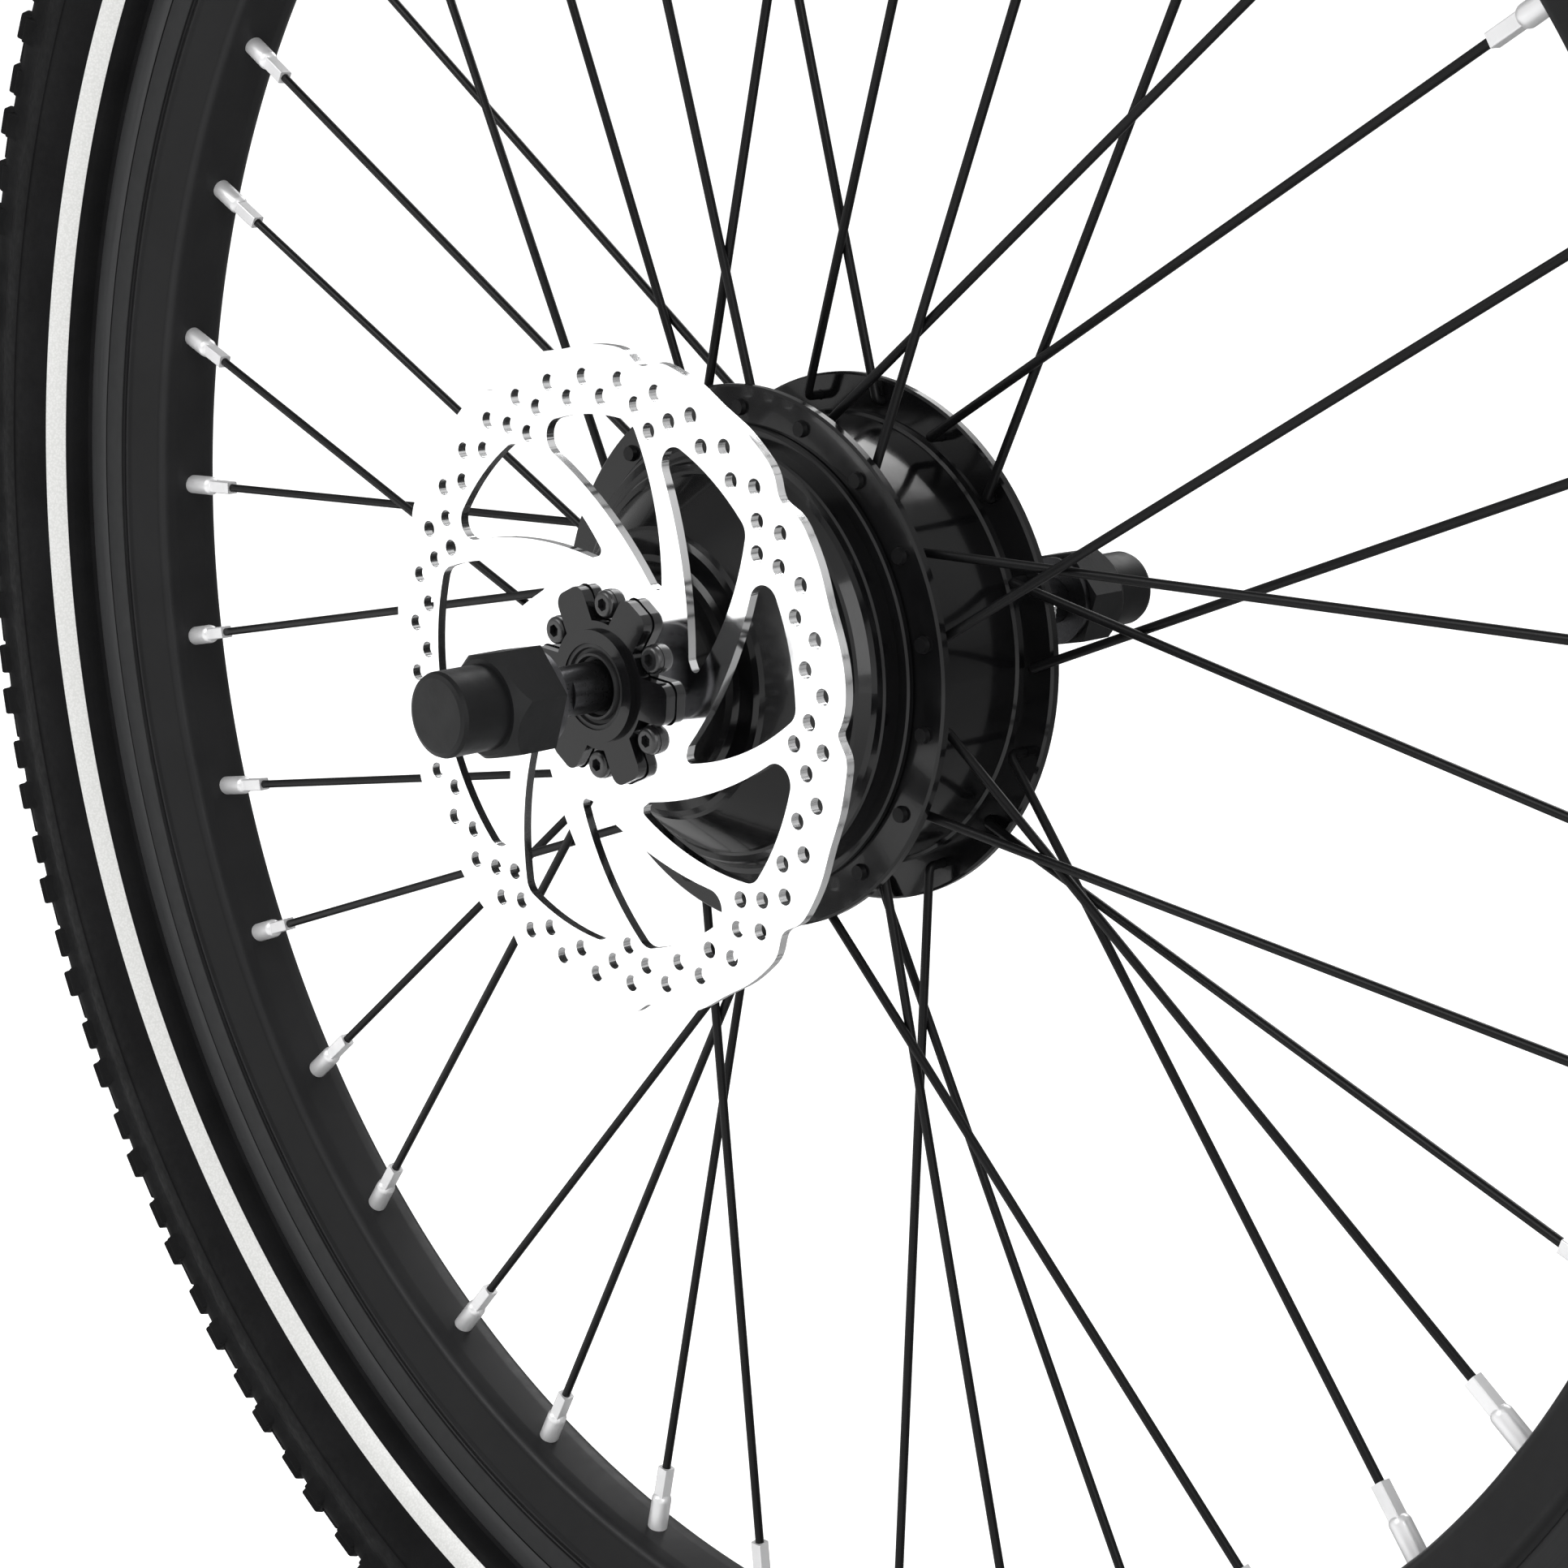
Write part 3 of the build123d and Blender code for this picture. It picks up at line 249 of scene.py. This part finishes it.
def gloss_paint():
    """Gloss black powder coat: a faint orange peel under a clear top."""
    s = Shader("hub_gloss_black", (0.003, 0.003, 0.0032), 0.0, 0.16, Coat_Weight=0.12,
               Coat_Roughness=0.04, Specular_IOR_Level=0.2)
    s.colour(s.mix(s.ramp(s.noise(35, 4), 0.35, 0.65),
                   (0.0022, 0.0022, 0.0024), (0.0038, 0.0038, 0.0041)))
    s.rough(s.ramp(s.noise(160, 4), 0.3, 0.7, 0.12, 0.19))
    s.bump(s.noise(700, 2), 0.06, 0.0001)
    return s.material


def satin_paint(name, low, high, rough_low, rough_high, specular=0.5):
    """Satin paint with a fine grain."""
    s = Shader(name, high, 0.0, rough_high, Specular_IOR_Level=specular)
    s.colour(s.mix(s.ramp(s.noise(60, 4), 0.35, 0.65), low, high))
    s.rough(s.ramp(s.noise(220, 4), 0.3, 0.7, rough_low, rough_high))
    s.bump(s.noise(900, 3), 0.25, 0.0001)
    return s.material


def metal(name, low, high, rough_low, rough_high, lines=0, metallic=1.0):
    """Bare or plated metal; lines is how many turning marks it has per metre, or 0 for none."""
    s = Shader(name, high, metallic, rough_high)
    s.colour(s.mix(s.ramp(s.noise(45, 5), 0.35, 0.65), low, high))
    if lines:
        marks = s.noise(lines, 2, place=s.along_ring(0.004))
        s.rough(s.ramp(marks, 0.3, 0.7, rough_low, rough_high))
        s.bump(marks, 0.2, 0.00006)
    else:
        s.rough(s.ramp(s.noise(400, 4), 0.3, 0.7, rough_low, rough_high))
        s.bump(s.noise(800, 3), 0.15, 0.00006)
    return s.material


def rotor_metal():
    """Polished stainless plate: mirror arms, and fine pad marks round the braking ring."""
    s = Shader("rotor_polished_steel", (0.9, 0.9, 0.91), 1.0, 0.08)
    radius, _, _ = s.polar()
    marks = s.noise(5200, 2, place=s.along_ring(0.002))
    ring = s.step(radius, PAD_TRACK_R, 1.0)
    rough = s.math("MULTIPLY", s.ramp(marks, 0.3, 0.7, 0.02, 0.13), ring)
    s.rough(s.math("ADD", rough, s.ramp(s.noise(90, 4), 0.3, 0.7, 0.05, 0.10)))
    s.colour(s.mix(s.ramp(s.noise(30, 4), 0.35, 0.65),
                   (0.86, 0.865, 0.875), (0.93, 0.93, 0.935)))
    s.bump(s.math("MULTIPLY", marks, ring), 0.05, 0.00004)
    return s.material


def rim_metal():
    """Black anodised rim: satin, with the bed painted paler as painted light, pad marks on the
    braking bands, the outer band painted paler as wear and painted light, and painted shade in the
    wear groove.
    """
    s = Shader("rim_anodised_black", (0.03, 0.03, 0.032), 0.2, 0.42, Specular_IOR_Level=0.15)
    radius, _, _ = s.polar()
    marks = s.noise(3800, 2, place=s.along_ring(0.003))
    wear = s.ramp(marks, 0.35, 0.65)
    cloud = s.ramp(s.noise(40, 4), 0.35, 0.65)
    # painted light: the bed is painted about three times paler than the plain walls, for the light
    # that falls on it
    bed = s.mix(cloud, (0.012, 0.012, 0.0126), (0.015, 0.015, 0.0156))
    wall = s.mix(cloud, (0.0036, 0.0036, 0.0039), (0.0050, 0.0050, 0.0054))
    plain = s.mix(s.step(radius, BED_EDGE_R, 0.5), bed, wall)
    # braking bands: the pad marks are wear; the outer band is painted paler than the inner, partly
    # wear and partly painted light
    inner = s.mix(wear, (0.0095, 0.0097, 0.0102), (0.0125, 0.0127, 0.0132))
    outer = s.mix(wear, (0.0300, 0.0304, 0.0312), (0.0360, 0.0364, 0.0373))
    off_line = s.math("ABSOLUTE", s.math("SUBTRACT", radius, WEAR_LINE_R * MM))
    band_wear_and_painted_light = s.mix(s.step(radius, WEAR_LINE_R, 0.2), inner, outer)
    # painted shade: the wear groove is painted near black, darker than the plain walls
    band_wear_and_painted_light = s.mix(s.step(off_line, 0.28, 0.06), (0.002, 0.002, 0.002), band_wear_and_painted_light)
    band = s.math("MULTIPLY", s.step(radius, TRACK_R0, 0.4), s.step(radius, TRACK_R1, -0.4))
    s.colour(s.mix(band, plain, band_wear_and_painted_light))
    grooves = s.math("MULTIPLY", s.ramp(marks, 0.3, 0.7, -0.05, 0.08), band)
    s.rough(s.math("ADD", s.ramp(s.noise(300, 4), 0.3, 0.7, 0.36, 0.44), grooves))
    grain = s.math("MULTIPLY", s.noise(1500, 2), 0.3)
    s.bump(s.math("ADD", s.math("MULTIPLY", marks, band), grain), 0.10, 0.00008)
    return s.material


def tyre_rubber():
    """Moulded rubber: fine pebble grain and faint rings left by the mould."""
    s = Shader("tyre_rubber", (0.016, 0.016, 0.017), 0.0, 0.62, Specular_IOR_Level=0.04)
    marks = s.noise(900, 2, place=s.along_ring(0.01))
    s.colour(s.mix(s.ramp(s.noise(55, 5), 0.35, 0.65),
                   (0.0038, 0.0038, 0.0040), (0.0056, 0.0056, 0.0059)))
    s.rough(s.ramp(s.noise(400, 4), 0.3, 0.7, 0.54, 0.70))
    s.bump(s.math("ADD", s.noise(2200, 3), s.math("MULTIPLY", marks, 0.5)), 0.25, 0.00015)
    return s.material


def reflective_band():
    """Reflective band: pale, with the fine net of beads in it."""
    s = Shader("reflective_band", (0.62, 0.62, 0.6), 0.0, 0.38,
               Coat_Weight=0.25, Coat_Roughness=0.2)
    cells = s.node("ShaderNodeTexVoronoi")
    cells.inputs["Scale"].default_value = 1500
    s.link(s.place, cells.inputs["Vector"])
    from_bead = cells.outputs["Distance"]
    s.colour(s.mix(s.ramp(from_bead, 0.1, 0.7), (0.52, 0.52, 0.51), (0.44, 0.44, 0.43)))
    s.rough(s.ramp(s.noise(250, 3), 0.3, 0.7, 0.32, 0.46))
    s.bump(from_bead, 0.12, 0.00008)
    return s.material


def woven(name, low, high):
    """Woven tape: threads both ways."""
    s = Shader(name, high, 0.0, 0.8)
    waves = []
    for direction in ("X", "Y"):
        made = s.node("ShaderNodeTexWave", bands_direction=direction)
        made.inputs["Scale"].default_value = 500
        s.link(s.along_ring(0.29), made.inputs["Vector"])
        waves.append(made.outputs["Fac"])
    weave = s.math("MULTIPLY", waves[0], waves[1])
    s.colour(s.mix(weave, low, high))
    s.bump(weave, 0.3, 0.0001)
    return s.material


def wire_copper():
    """Enamelled copper wire wound in turns, with painted shade between the turns and a painted
    highlight along each turn.
    """
    s = Shader("coil_copper", (0.55, 0.2, 0.08), 1.0, 0.3)
    turns = s.node("ShaderNodeTexWave", bands_direction="Y")
    turns.inputs["Scale"].default_value = 320
    s.link(s.place, turns.inputs["Vector"])
    # painted shade and highlight: the colour runs from dark in the gaps to pale on the crown of
    # each turn, in step with its bump
    s.colour(s.mix(turns.outputs["Fac"], (0.35, 0.11, 0.04), (0.72, 0.3, 0.13)))
    s.rough(s.ramp(s.noise(300, 3), 0.3, 0.7, 0.24, 0.36))
    s.bump(turns.outputs["Fac"], 0.5, 0.0003)
    return s.material


# one finish for each material slot of the record
FINISHES = {
    "hub_black": gloss_paint(),
    "spoke_black": satin_paint(
        "spoke_black", (0.003, 0.003, 0.0032), (0.0045, 0.0045, 0.0048), 0.28, 0.38, specular=0.12),
    "bolt_black": satin_paint(
        "bolt_black", (0.005, 0.005, 0.0055), (0.009, 0.009, 0.0095), 0.24, 0.36),
    "nut_dark": satin_paint(
        "nut_satin_black", (0.0042, 0.0043, 0.0046), (0.006, 0.0062, 0.0066), 0.38, 0.50,
        specular=0.16),
    "cap_plastic": satin_paint(
        "moulded_black", (0.012, 0.012, 0.0125), (0.018, 0.018, 0.019), 0.36, 0.5),
    "seal_rubber": satin_paint(
        "seal_rubber", (0.007, 0.007, 0.0075), (0.012, 0.012, 0.0125), 0.45, 0.6, specular=0.35),
    "tube_rubber": satin_paint(
        "tube_rubber", (0.010, 0.010, 0.0105), (0.016, 0.016, 0.017), 0.5, 0.65, specular=0.35),
    "gear_nylon": satin_paint(
        "gear_nylon", (0.70, 0.68, 0.60), (0.80, 0.78, 0.70), 0.36, 0.5),
    "board_green": satin_paint(
        "sensor_board", (0.01, 0.12, 0.04), (0.015, 0.2, 0.07), 0.3, 0.45),
    "rotor_steel": rotor_metal(),
    "rim_black": rim_metal(),
    "tyre_rubber": tyre_rubber(),
    "stripe_grey": reflective_band(),
    "tape_fabric": woven("rim_tape_weave", (0.05, 0.08, 0.2), (0.12, 0.18, 0.4)),
    "copper": wire_copper(),
    "nipple_silver": metal(
        "nipple_nickel", (0.52, 0.52, 0.525), (0.62, 0.62, 0.625), 0.30, 0.42, metallic=0.5),
    "axle_steel": metal(
        "axle_black_oxide", (0.035, 0.035, 0.037), (0.06, 0.06, 0.063), 0.26, 0.40, lines=2500),
    "bearing_steel": metal(
        "bearing_steel", (0.55, 0.55, 0.56), (0.68, 0.68, 0.69), 0.12, 0.22, lines=3000),
    "gear_steel": metal("gear_steel", (0.28, 0.28, 0.29), (0.40, 0.40, 0.41), 0.28, 0.42),
    "sprocket_steel": metal(
        "sprocket_steel", (0.40, 0.40, 0.405), (0.56, 0.56, 0.565), 0.22, 0.36, lines=2600),
    "lamination": metal(
        "lamination_steel", (0.22, 0.22, 0.23), (0.34, 0.34, 0.35), 0.35, 0.5, lines=3000),
    "cast_alloy": metal("cast_alloy", (0.48, 0.48, 0.49), (0.60, 0.60, 0.61), 0.34, 0.48),
    "magnet": metal("magnet_nickel", (0.50, 0.50, 0.50), (0.62, 0.62, 0.61), 0.18, 0.3),
    "brass": metal("brass", (0.55, 0.38, 0.13), (0.70, 0.50, 0.20), 0.2, 0.34),
}


def paint_frame():
    """Every CAD node takes its finish from its slot in the record."""
    for entry in frame["record"]["subparts"]:
        piece = nodes[entry["node"]]
        if not piece.material_slots:
            piece.data.materials.append(None)
        for place in piece.material_slots:
            place.link = "OBJECT"
            place.material = FINISHES[entry["material_slot"]]


def stand_in(piece, body, slot_name, *replaced):
    """A new piece that rides on a body, in place of the CAD nodes it replaces."""
    piece.data.materials.append(FINISHES[slot_name])
    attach(piece, body)
    if replaced:
        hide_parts(*replaced)


# ---- rim -------------------------------------------------------------------------------------
def rim_profile():
    """The rim's outside, with its rounded edges; the inside is a plain well."""
    half = [
        (BED_R, 0.0), (BED_R, 4.4), (BED_R + 0.03, 5.0), (BED_R + 0.12, 5.5), (BED_R + 0.3, 7.0),
        (BED_R + 0.6, 8.2), (BED_R + 1.15, 9.2), (BED_R + 1.9, 9.7), (BED_R + 3.0, 10.05),
        (277.0, 11.8), (277.6, 12.0), (278.1, 12.4), (278.6, 12.55), (279.2, 12.45),
        (279.8, 12.0), (280.3, 11.75), (281.0, 11.75), (281.3, 12.0), (281.5, 12.5),
        (289.3, 12.5), (289.45, 12.1), (289.75, 12.1), (289.9, 12.5),
        (297.3, 12.5), (297.8, 12.3), (298.0, 11.9), (297.9, 11.2), (296.6, 10.5), (295.4, 10.8),
        (292.0, 10.8), (292.0, 7.4), (290.0, 6.6), (290.0, 0.0),
    ]
    return half + [(r, -y) for r, y in reversed(half[1:-1])]


def rim_dimples(radius, y, angle):
    """The bed swells a little round each spoke hole."""
    pitch = 360.0 / RIM_HOLES
    away = (angle - FIRST_RIM_HOLE + pitch / 2) % pitch - pitch / 2
    along = np.radians(away) * BED_R
    swell = np.exp(-(along / 6.5) ** 2 - (y / 6.0) ** 2)
    on_bed = radius < BED_R + 4
    return np.where(on_bed, -0.35 * swell, 0.0), np.zeros_like(y)


rim = turned("rim_extrusion", rim_profile(), STEPS_ROUND, 28, rim_dimples)
stand_in(rim, "wheel", "rim_black", "rim")


# ---- tyre ------------------------------------------------------------------------------------
def sidewall_point(section_angle, height=0.0):
    """(radius, y) on the sidewall: section angle in degrees up from the widest place."""
    t = math.radians(section_angle)
    rho = SECTION_R + height
    return TYRE_CENTRE_R + rho * math.sin(t), rho * math.cos(t)


def crown_point(section_angle):
    """(radius, y) on the crown under the tread: section angle in degrees from the middle."""
    t = math.radians(section_angle)
    return CROWN_CENTRE_R + CROWN_BASE_R * math.cos(t), CROWN_BASE_R * math.sin(t)


def cavity_point(section_angle):
    """(radius, y) on the inside: section angle in degrees from the middle of the crown."""
    t = math.radians(section_angle)
    rho = SECTION_R - WALL_T
    return TYRE_CENTRE_R + rho * math.cos(t), rho * math.sin(t)


def carcass_profile():
    """The tyre's outside from bead to crown, and a plain inside."""
    ridge = math.degrees(math.asin((RIDGE_R - TYRE_CENTRE_R) / SECTION_R))
    half = [(292.1, 8.0), (292.1, 10.6), (295.4, 10.6), (296.6, 10.25), (298.15, 11.0)]
    half += [(298.4, 12.3), (298.65, 13.6), (299.0, 15.2)]
    half += [sidewall_point(t) for t in np.linspace(-47.0, ridge - 0.8, 34)]
    half += [sidewall_point(ridge + t, RIDGE_HEIGHT) for t in (-0.35, 0.35)]
    half += [sidewall_point(t) for t in np.linspace(ridge + 0.8, 30.0, 16)]
    half += [(332.6, 22.1), (334.0, 22.0), (335.5, 22.15), (337.0, 22.3), (338.2, 22.2)]
    half += [crown_point(t) for t in np.linspace(30.6, 0.0, 26)]
    inside = [cavity_point(t) for t in np.linspace(0, 132, 24)]
    outer = [(r, -y) for r, y in half] + list(reversed(half[:-1]))
    inner = list(reversed(inside)) + [(r, -y) for r, y in inside[1:]]
    return outer + inner


def shoulder_waves(radius, y, angle):
    """The shoulder swells out under each outer block."""
    pitch = 360.0 / TREAD_PITCHES
    away = (angle - FIRST_PITCH + pitch / 2) % pitch - pitch / 2
    along = np.radians(away) * WAVE_R
    swell = np.exp(-(along / 5.2) ** 2) * np.exp(-((radius - SHOULDER_R) / 3.4) ** 2)
    on_shoulder = np.abs(y) > 19.0
    return np.zeros_like(y), np.where(on_shoulder, 0.9 * swell * np.sign(y), 0.0)


carcass = turned("tyre_carcass", carcass_profile(), CARCASS_STEPS, 40, shoulder_waves)
stand_in(carcass, "wheel", "tyre_rubber", "tyre")


def block_loops(length, width, corner, heights):
    """Rounded-rectangle loops of a block: (spread, height) rows from its foot to its top."""
    turns = np.radians([0, 30, 60, 90])
    loops = []
    for spread, height in heights:
        a, b, c = length / 2 + spread, width / 2 + spread, max(corner + spread, 0.15)
        points = []
        for quadrant in range(4):
            cx = (a - c) * (1 if quadrant in (0, 3) else -1)
            cy = (b - c) * (1 if quadrant in (0, 1) else -1)
            points += [(cx + c * math.cos(t + quadrant * math.pi / 2),
                        cy + c * math.sin(t + quadrant * math.pi / 2), height) for t in turns]
        loops.append(points)
    return np.array(loops)


def tread_block(angle, section, length, width, height, slant, corner, foot):
    """Points and faces of one tread block on the crown.

    angle is its place round the tyre and section its place across it, in degrees; slant turns it.
    height and foot are its top and bottom over the crown's base.
    """
    rows = ((0.9, foot), (0.45, min(height - 2.5, 0.15)), (0.12, min(height - 1.4, 0.6)),
            (0.0, height - 0.5), (-0.18, height - 0.15), (-0.55, height))
    loops = block_loops(length, width, corner, rows)
    lean = math.radians(slant)
    u = loops[..., 0] * math.cos(lean) - loops[..., 1] * math.sin(lean)
    v = loops[..., 0] * math.sin(lean) + loops[..., 1] * math.cos(lean)
    turn = np.radians(section) + v / CROWN_BASE_R
    rho = CROWN_BASE_R + loops[..., 2]
    radius = CROWN_CENTRE_R + rho * np.cos(turn)
    y = rho * np.sin(turn)
    theta = np.radians(angle) + u / TREAD_R
    points = np.stack([radius * np.cos(theta), y, radius * np.sin(theta)], -1).reshape(-1, 3)
    levels, count = loops.shape[:2]
    faces = []
    for level in range(levels - 1):
        for i in range(count):
            j = (i + 1) % count
            a, b = level * count + i, level * count + j
            faces.append((a, a + count, b + count, b))
    faces.append(tuple(range(count)))
    faces.append(tuple(reversed(range((levels - 1) * count, levels * count))))
    return points, faces


# one pitch of the tread on one side:
# (place in the pitch, section, length, width, height, slant, corner, foot)
SIDE_BLOCKS = (
    (0.00, 29.0, 8.3, 4.4, 2.75, 0.0, 0.8, -0.9),
    (0.00, 32.9, 8.0, 2.6, 0.3, 0.0, 0.7, -4.5),
    (0.23, 27.0, 10.0, 3.8, 1.3, 0.0, 0.8, -0.9),
    (0.566, 27.2, 9.0, 4.6, 2.7, 0.0, 0.8, -0.9),
    (0.566, 31.4, 8.4, 2.4, 0.2, 0.0, 0.7, -4.5),
    (0.12, 16.6, 9.5, 5.4, 2.45, 18.0, 1.2, -0.9),
    (0.62, 16.6, 9.5, 5.4, 2.45, 18.0, 1.2, -0.9),
    (0.37, 8.6, 10.5, 5.2, 2.45, -14.0, 1.2, -0.9),
    (0.87, 8.6, 10.5, 5.2, 2.45, -14.0, 1.2, -0.9),
)


def build_tread():
    """All tread blocks as one piece; the two sides are half a pitch apart."""
    pitch = 360.0 / TREAD_PITCHES
    blocks = []
    for number in range(TREAD_PITCHES):
        for hand, shift in ((-1, 0.0), (1, 0.5)):
            for place, section, length, width, height, slant, corner, foot in SIDE_BLOCKS:
                angle = FIRST_PITCH + (number + place + shift) * pitch
                blocks.append(tread_block(
                    angle, hand * section, length, width, height, hand * slant, corner, foot))
        for half in (0.25, 0.75):
            angle = FIRST_PITCH + (number + half) * pitch
            blocks.append(tread_block(angle, 0.0, 12.6, 4.4, 2.4, 0.0, 1.2, -0.9))
    faces, total = [], 0
    for block_points, block_faces in blocks:
        faces += [tuple(i + total for i in face) for face in block_faces]
        total += len(block_points)
    piece = add_mesh("tyre_tread_blocks", np.concatenate([points for points, _ in blocks]), faces)
    sharp_by_angle(piece, 50)
    return piece


stand_in(build_tread(), "wheel", "tyre_rubber")


def stripe_profile(hand):
    """A thin band that lies on the sidewall."""
    radii = np.linspace(STRIPE_R0, STRIPE_R1, 8)
    turns = [math.degrees(math.asin((r - TYRE_CENTRE_R) / SECTION_R)) for r in radii]
    back = [sidewall_point(t, -STRIPE_SINK) for t in turns]
    face = [sidewall_point(t, STRIPE_PROUD) for t in reversed(turns)]
    return [(r, hand * y) for r, y in back + face]


for hand, side in ((-1, "left"), (1, "right")):
    stripe = turned(f"reflective_stripe_{side}", stripe_profile(hand), STEPS_ROUND, 50)
    stand_in(stripe, "wheel", "stripe_grey", f"stripe_{side}")

paint_frame()


# ---- stage, lights and camera ----------------------------------------------------------------
def build_floor():
    """A floor that the tyre stands on: white to the camera, darker to the drive side."""
    low = cad_bounds[0][2]
    bpy.ops.mesh.primitive_circle_add(
        vertices=96, radius=40, fill_type="NGON", location=(0, 0, low))
    floor = bpy.context.object
    floor.name = "floor"
    s = Shader("floor_pale", (0.86, 0.86, 0.86), 0.0, 0.7, Specular_IOR_Level=0.2)
    _, _, y = s.polar()
    uneven_y = s.math("ADD", y, s.math("MULTIPLY", s.noise(3, 2), 0.05))
    s.colour(s.mix(s.ramp(uneven_y, -0.3, 0.3), (0.88, 0.88, 0.88), (0.30, 0.30, 0.30)))
    seen = s.node("ShaderNodeLightPath").outputs["Is Camera Ray"]
    s.out.inputs["Emission Color"].default_value = (1, 1, 1, 1)
    s.link(s.math("MAXIMUM", seen, s.ramp(y, -0.3, 0.2, 0.55, 0.0)),
           s.out.inputs["Emission Strength"])
    floor.data.materials.append(s.material)


def build_room():
    """A room that is white to the camera.

    The parts see it bright on the brake side, dimmer straight ahead of the rotor, darker on the
    drive side, and with a glow above the rear.
    """
    world = bpy.data.worlds.new("studio")
    world.use_nodes = True
    tree = world.node_tree
    view = tree.nodes.new("ShaderNodeTexCoord").outputs["Generated"]

    def part(direction, start, end, low, high):
        """Brightness that goes from low to high as the view turns towards a direction."""
        along = tree.nodes.new("ShaderNodeVectorMath")
        along.operation = "DOT_PRODUCT"
        tree.links.new(view, along.inputs[0])
        along.inputs[1].default_value = direction
        made = tree.nodes.new("ShaderNodeMapRange")
        numbers = {"From Min": start, "From Max": end, "To Min": low, "To Max": high}
        for key, number in numbers.items():
            made.inputs[key].default_value = number
        tree.links.new(along.outputs["Value"], made.inputs["Value"])
        return made.outputs["Result"]

    def combine(operation, first, second):
        made = tree.nodes.new("ShaderNodeMath")
        made.operation = operation
        tree.links.new(first, made.inputs[0])
        tree.links.new(second, made.inputs[1])
        return made.outputs[0]

    sides = part((0, 1, 0), -0.6, 0.05, 1.1, 0.32)
    ahead = part((0, 1, 0), -1.0, -0.75, 0.72, 1.0)
    above = part((0.7, 0, 0.7), 0.45, 0.85, 0.0, 0.48)
    strength = tree.nodes.new("ShaderNodeMix")
    seen = tree.nodes.new("ShaderNodeLightPath").outputs["Is Camera Ray"]
    tree.links.new(seen, strength.inputs["Factor"])
    tree.links.new(combine("ADD", combine("MULTIPLY", sides, ahead), above), strength.inputs["A"])
    strength.inputs["B"].default_value = 1.1
    background = tree.nodes["Background"]
    background.inputs["Color"].default_value = (1.0, 1.0, 1.0, 1)
    tree.links.new(strength.outputs["Result"], background.inputs["Strength"])
    bpy.context.scene.world = world


def area_light(name, place, width, height, power):
    """A soft rectangular light that faces the hub."""
    light = bpy.data.lights.new(name, "AREA")
    light.shape = "RECTANGLE"
    light.size = width
    light.size_y = height
    light.energy = power
    made = bpy.data.objects.new(name, light)
    made.location = place
    made.rotation_euler = (-Vector(place)).to_track_quat("-Z", "Y").to_euler()
    bpy.context.scene.collection.objects.link(made)


def build_lights():
    """One light on the brake side, one to the rear and one on the drive side."""
    area_light("key", (-0.9, -2.2, 1.9), 1.6, 1.6, 42)
    area_light("side", (2.3, -0.8, 0.8), 0.8, 2.0, 22)
    area_light("back", (-0.6, 2.4, 1.6), 1.8, 1.4, 34)


def build_camera():
    """The camera that looks at the hub from the rear of the brake side."""
    camera = bpy.data.objects.new("camera", bpy.data.cameras.new("camera"))
    camera.data.lens = CAMERA_LENS
    camera.data.sensor_width = 36
    camera.data.clip_start = 0.01
    camera.data.clip_end = 200
    back = Vector((
        math.sin(CAMERA_AZIMUTH) * math.cos(CAMERA_DROP),
        -math.cos(CAMERA_AZIMUTH) * math.cos(CAMERA_DROP),
        math.sin(CAMERA_DROP),
    ))
    right = Vector((math.cos(CAMERA_AZIMUTH), math.sin(CAMERA_AZIMUTH), 0))
    up = back.cross(right)
    facing = Matrix((right, up, back)).transposed().to_4x4()
    camera.matrix_world = Matrix.Translation(CAMERA_PLACE) @ facing
    bpy.context.scene.collection.objects.link(camera)
    bpy.context.scene.camera = camera


build_floor()
build_room()
build_lights()
build_camera()
bpy.context.scene.view_settings.view_transform = "Standard"  # keeps white white and black black
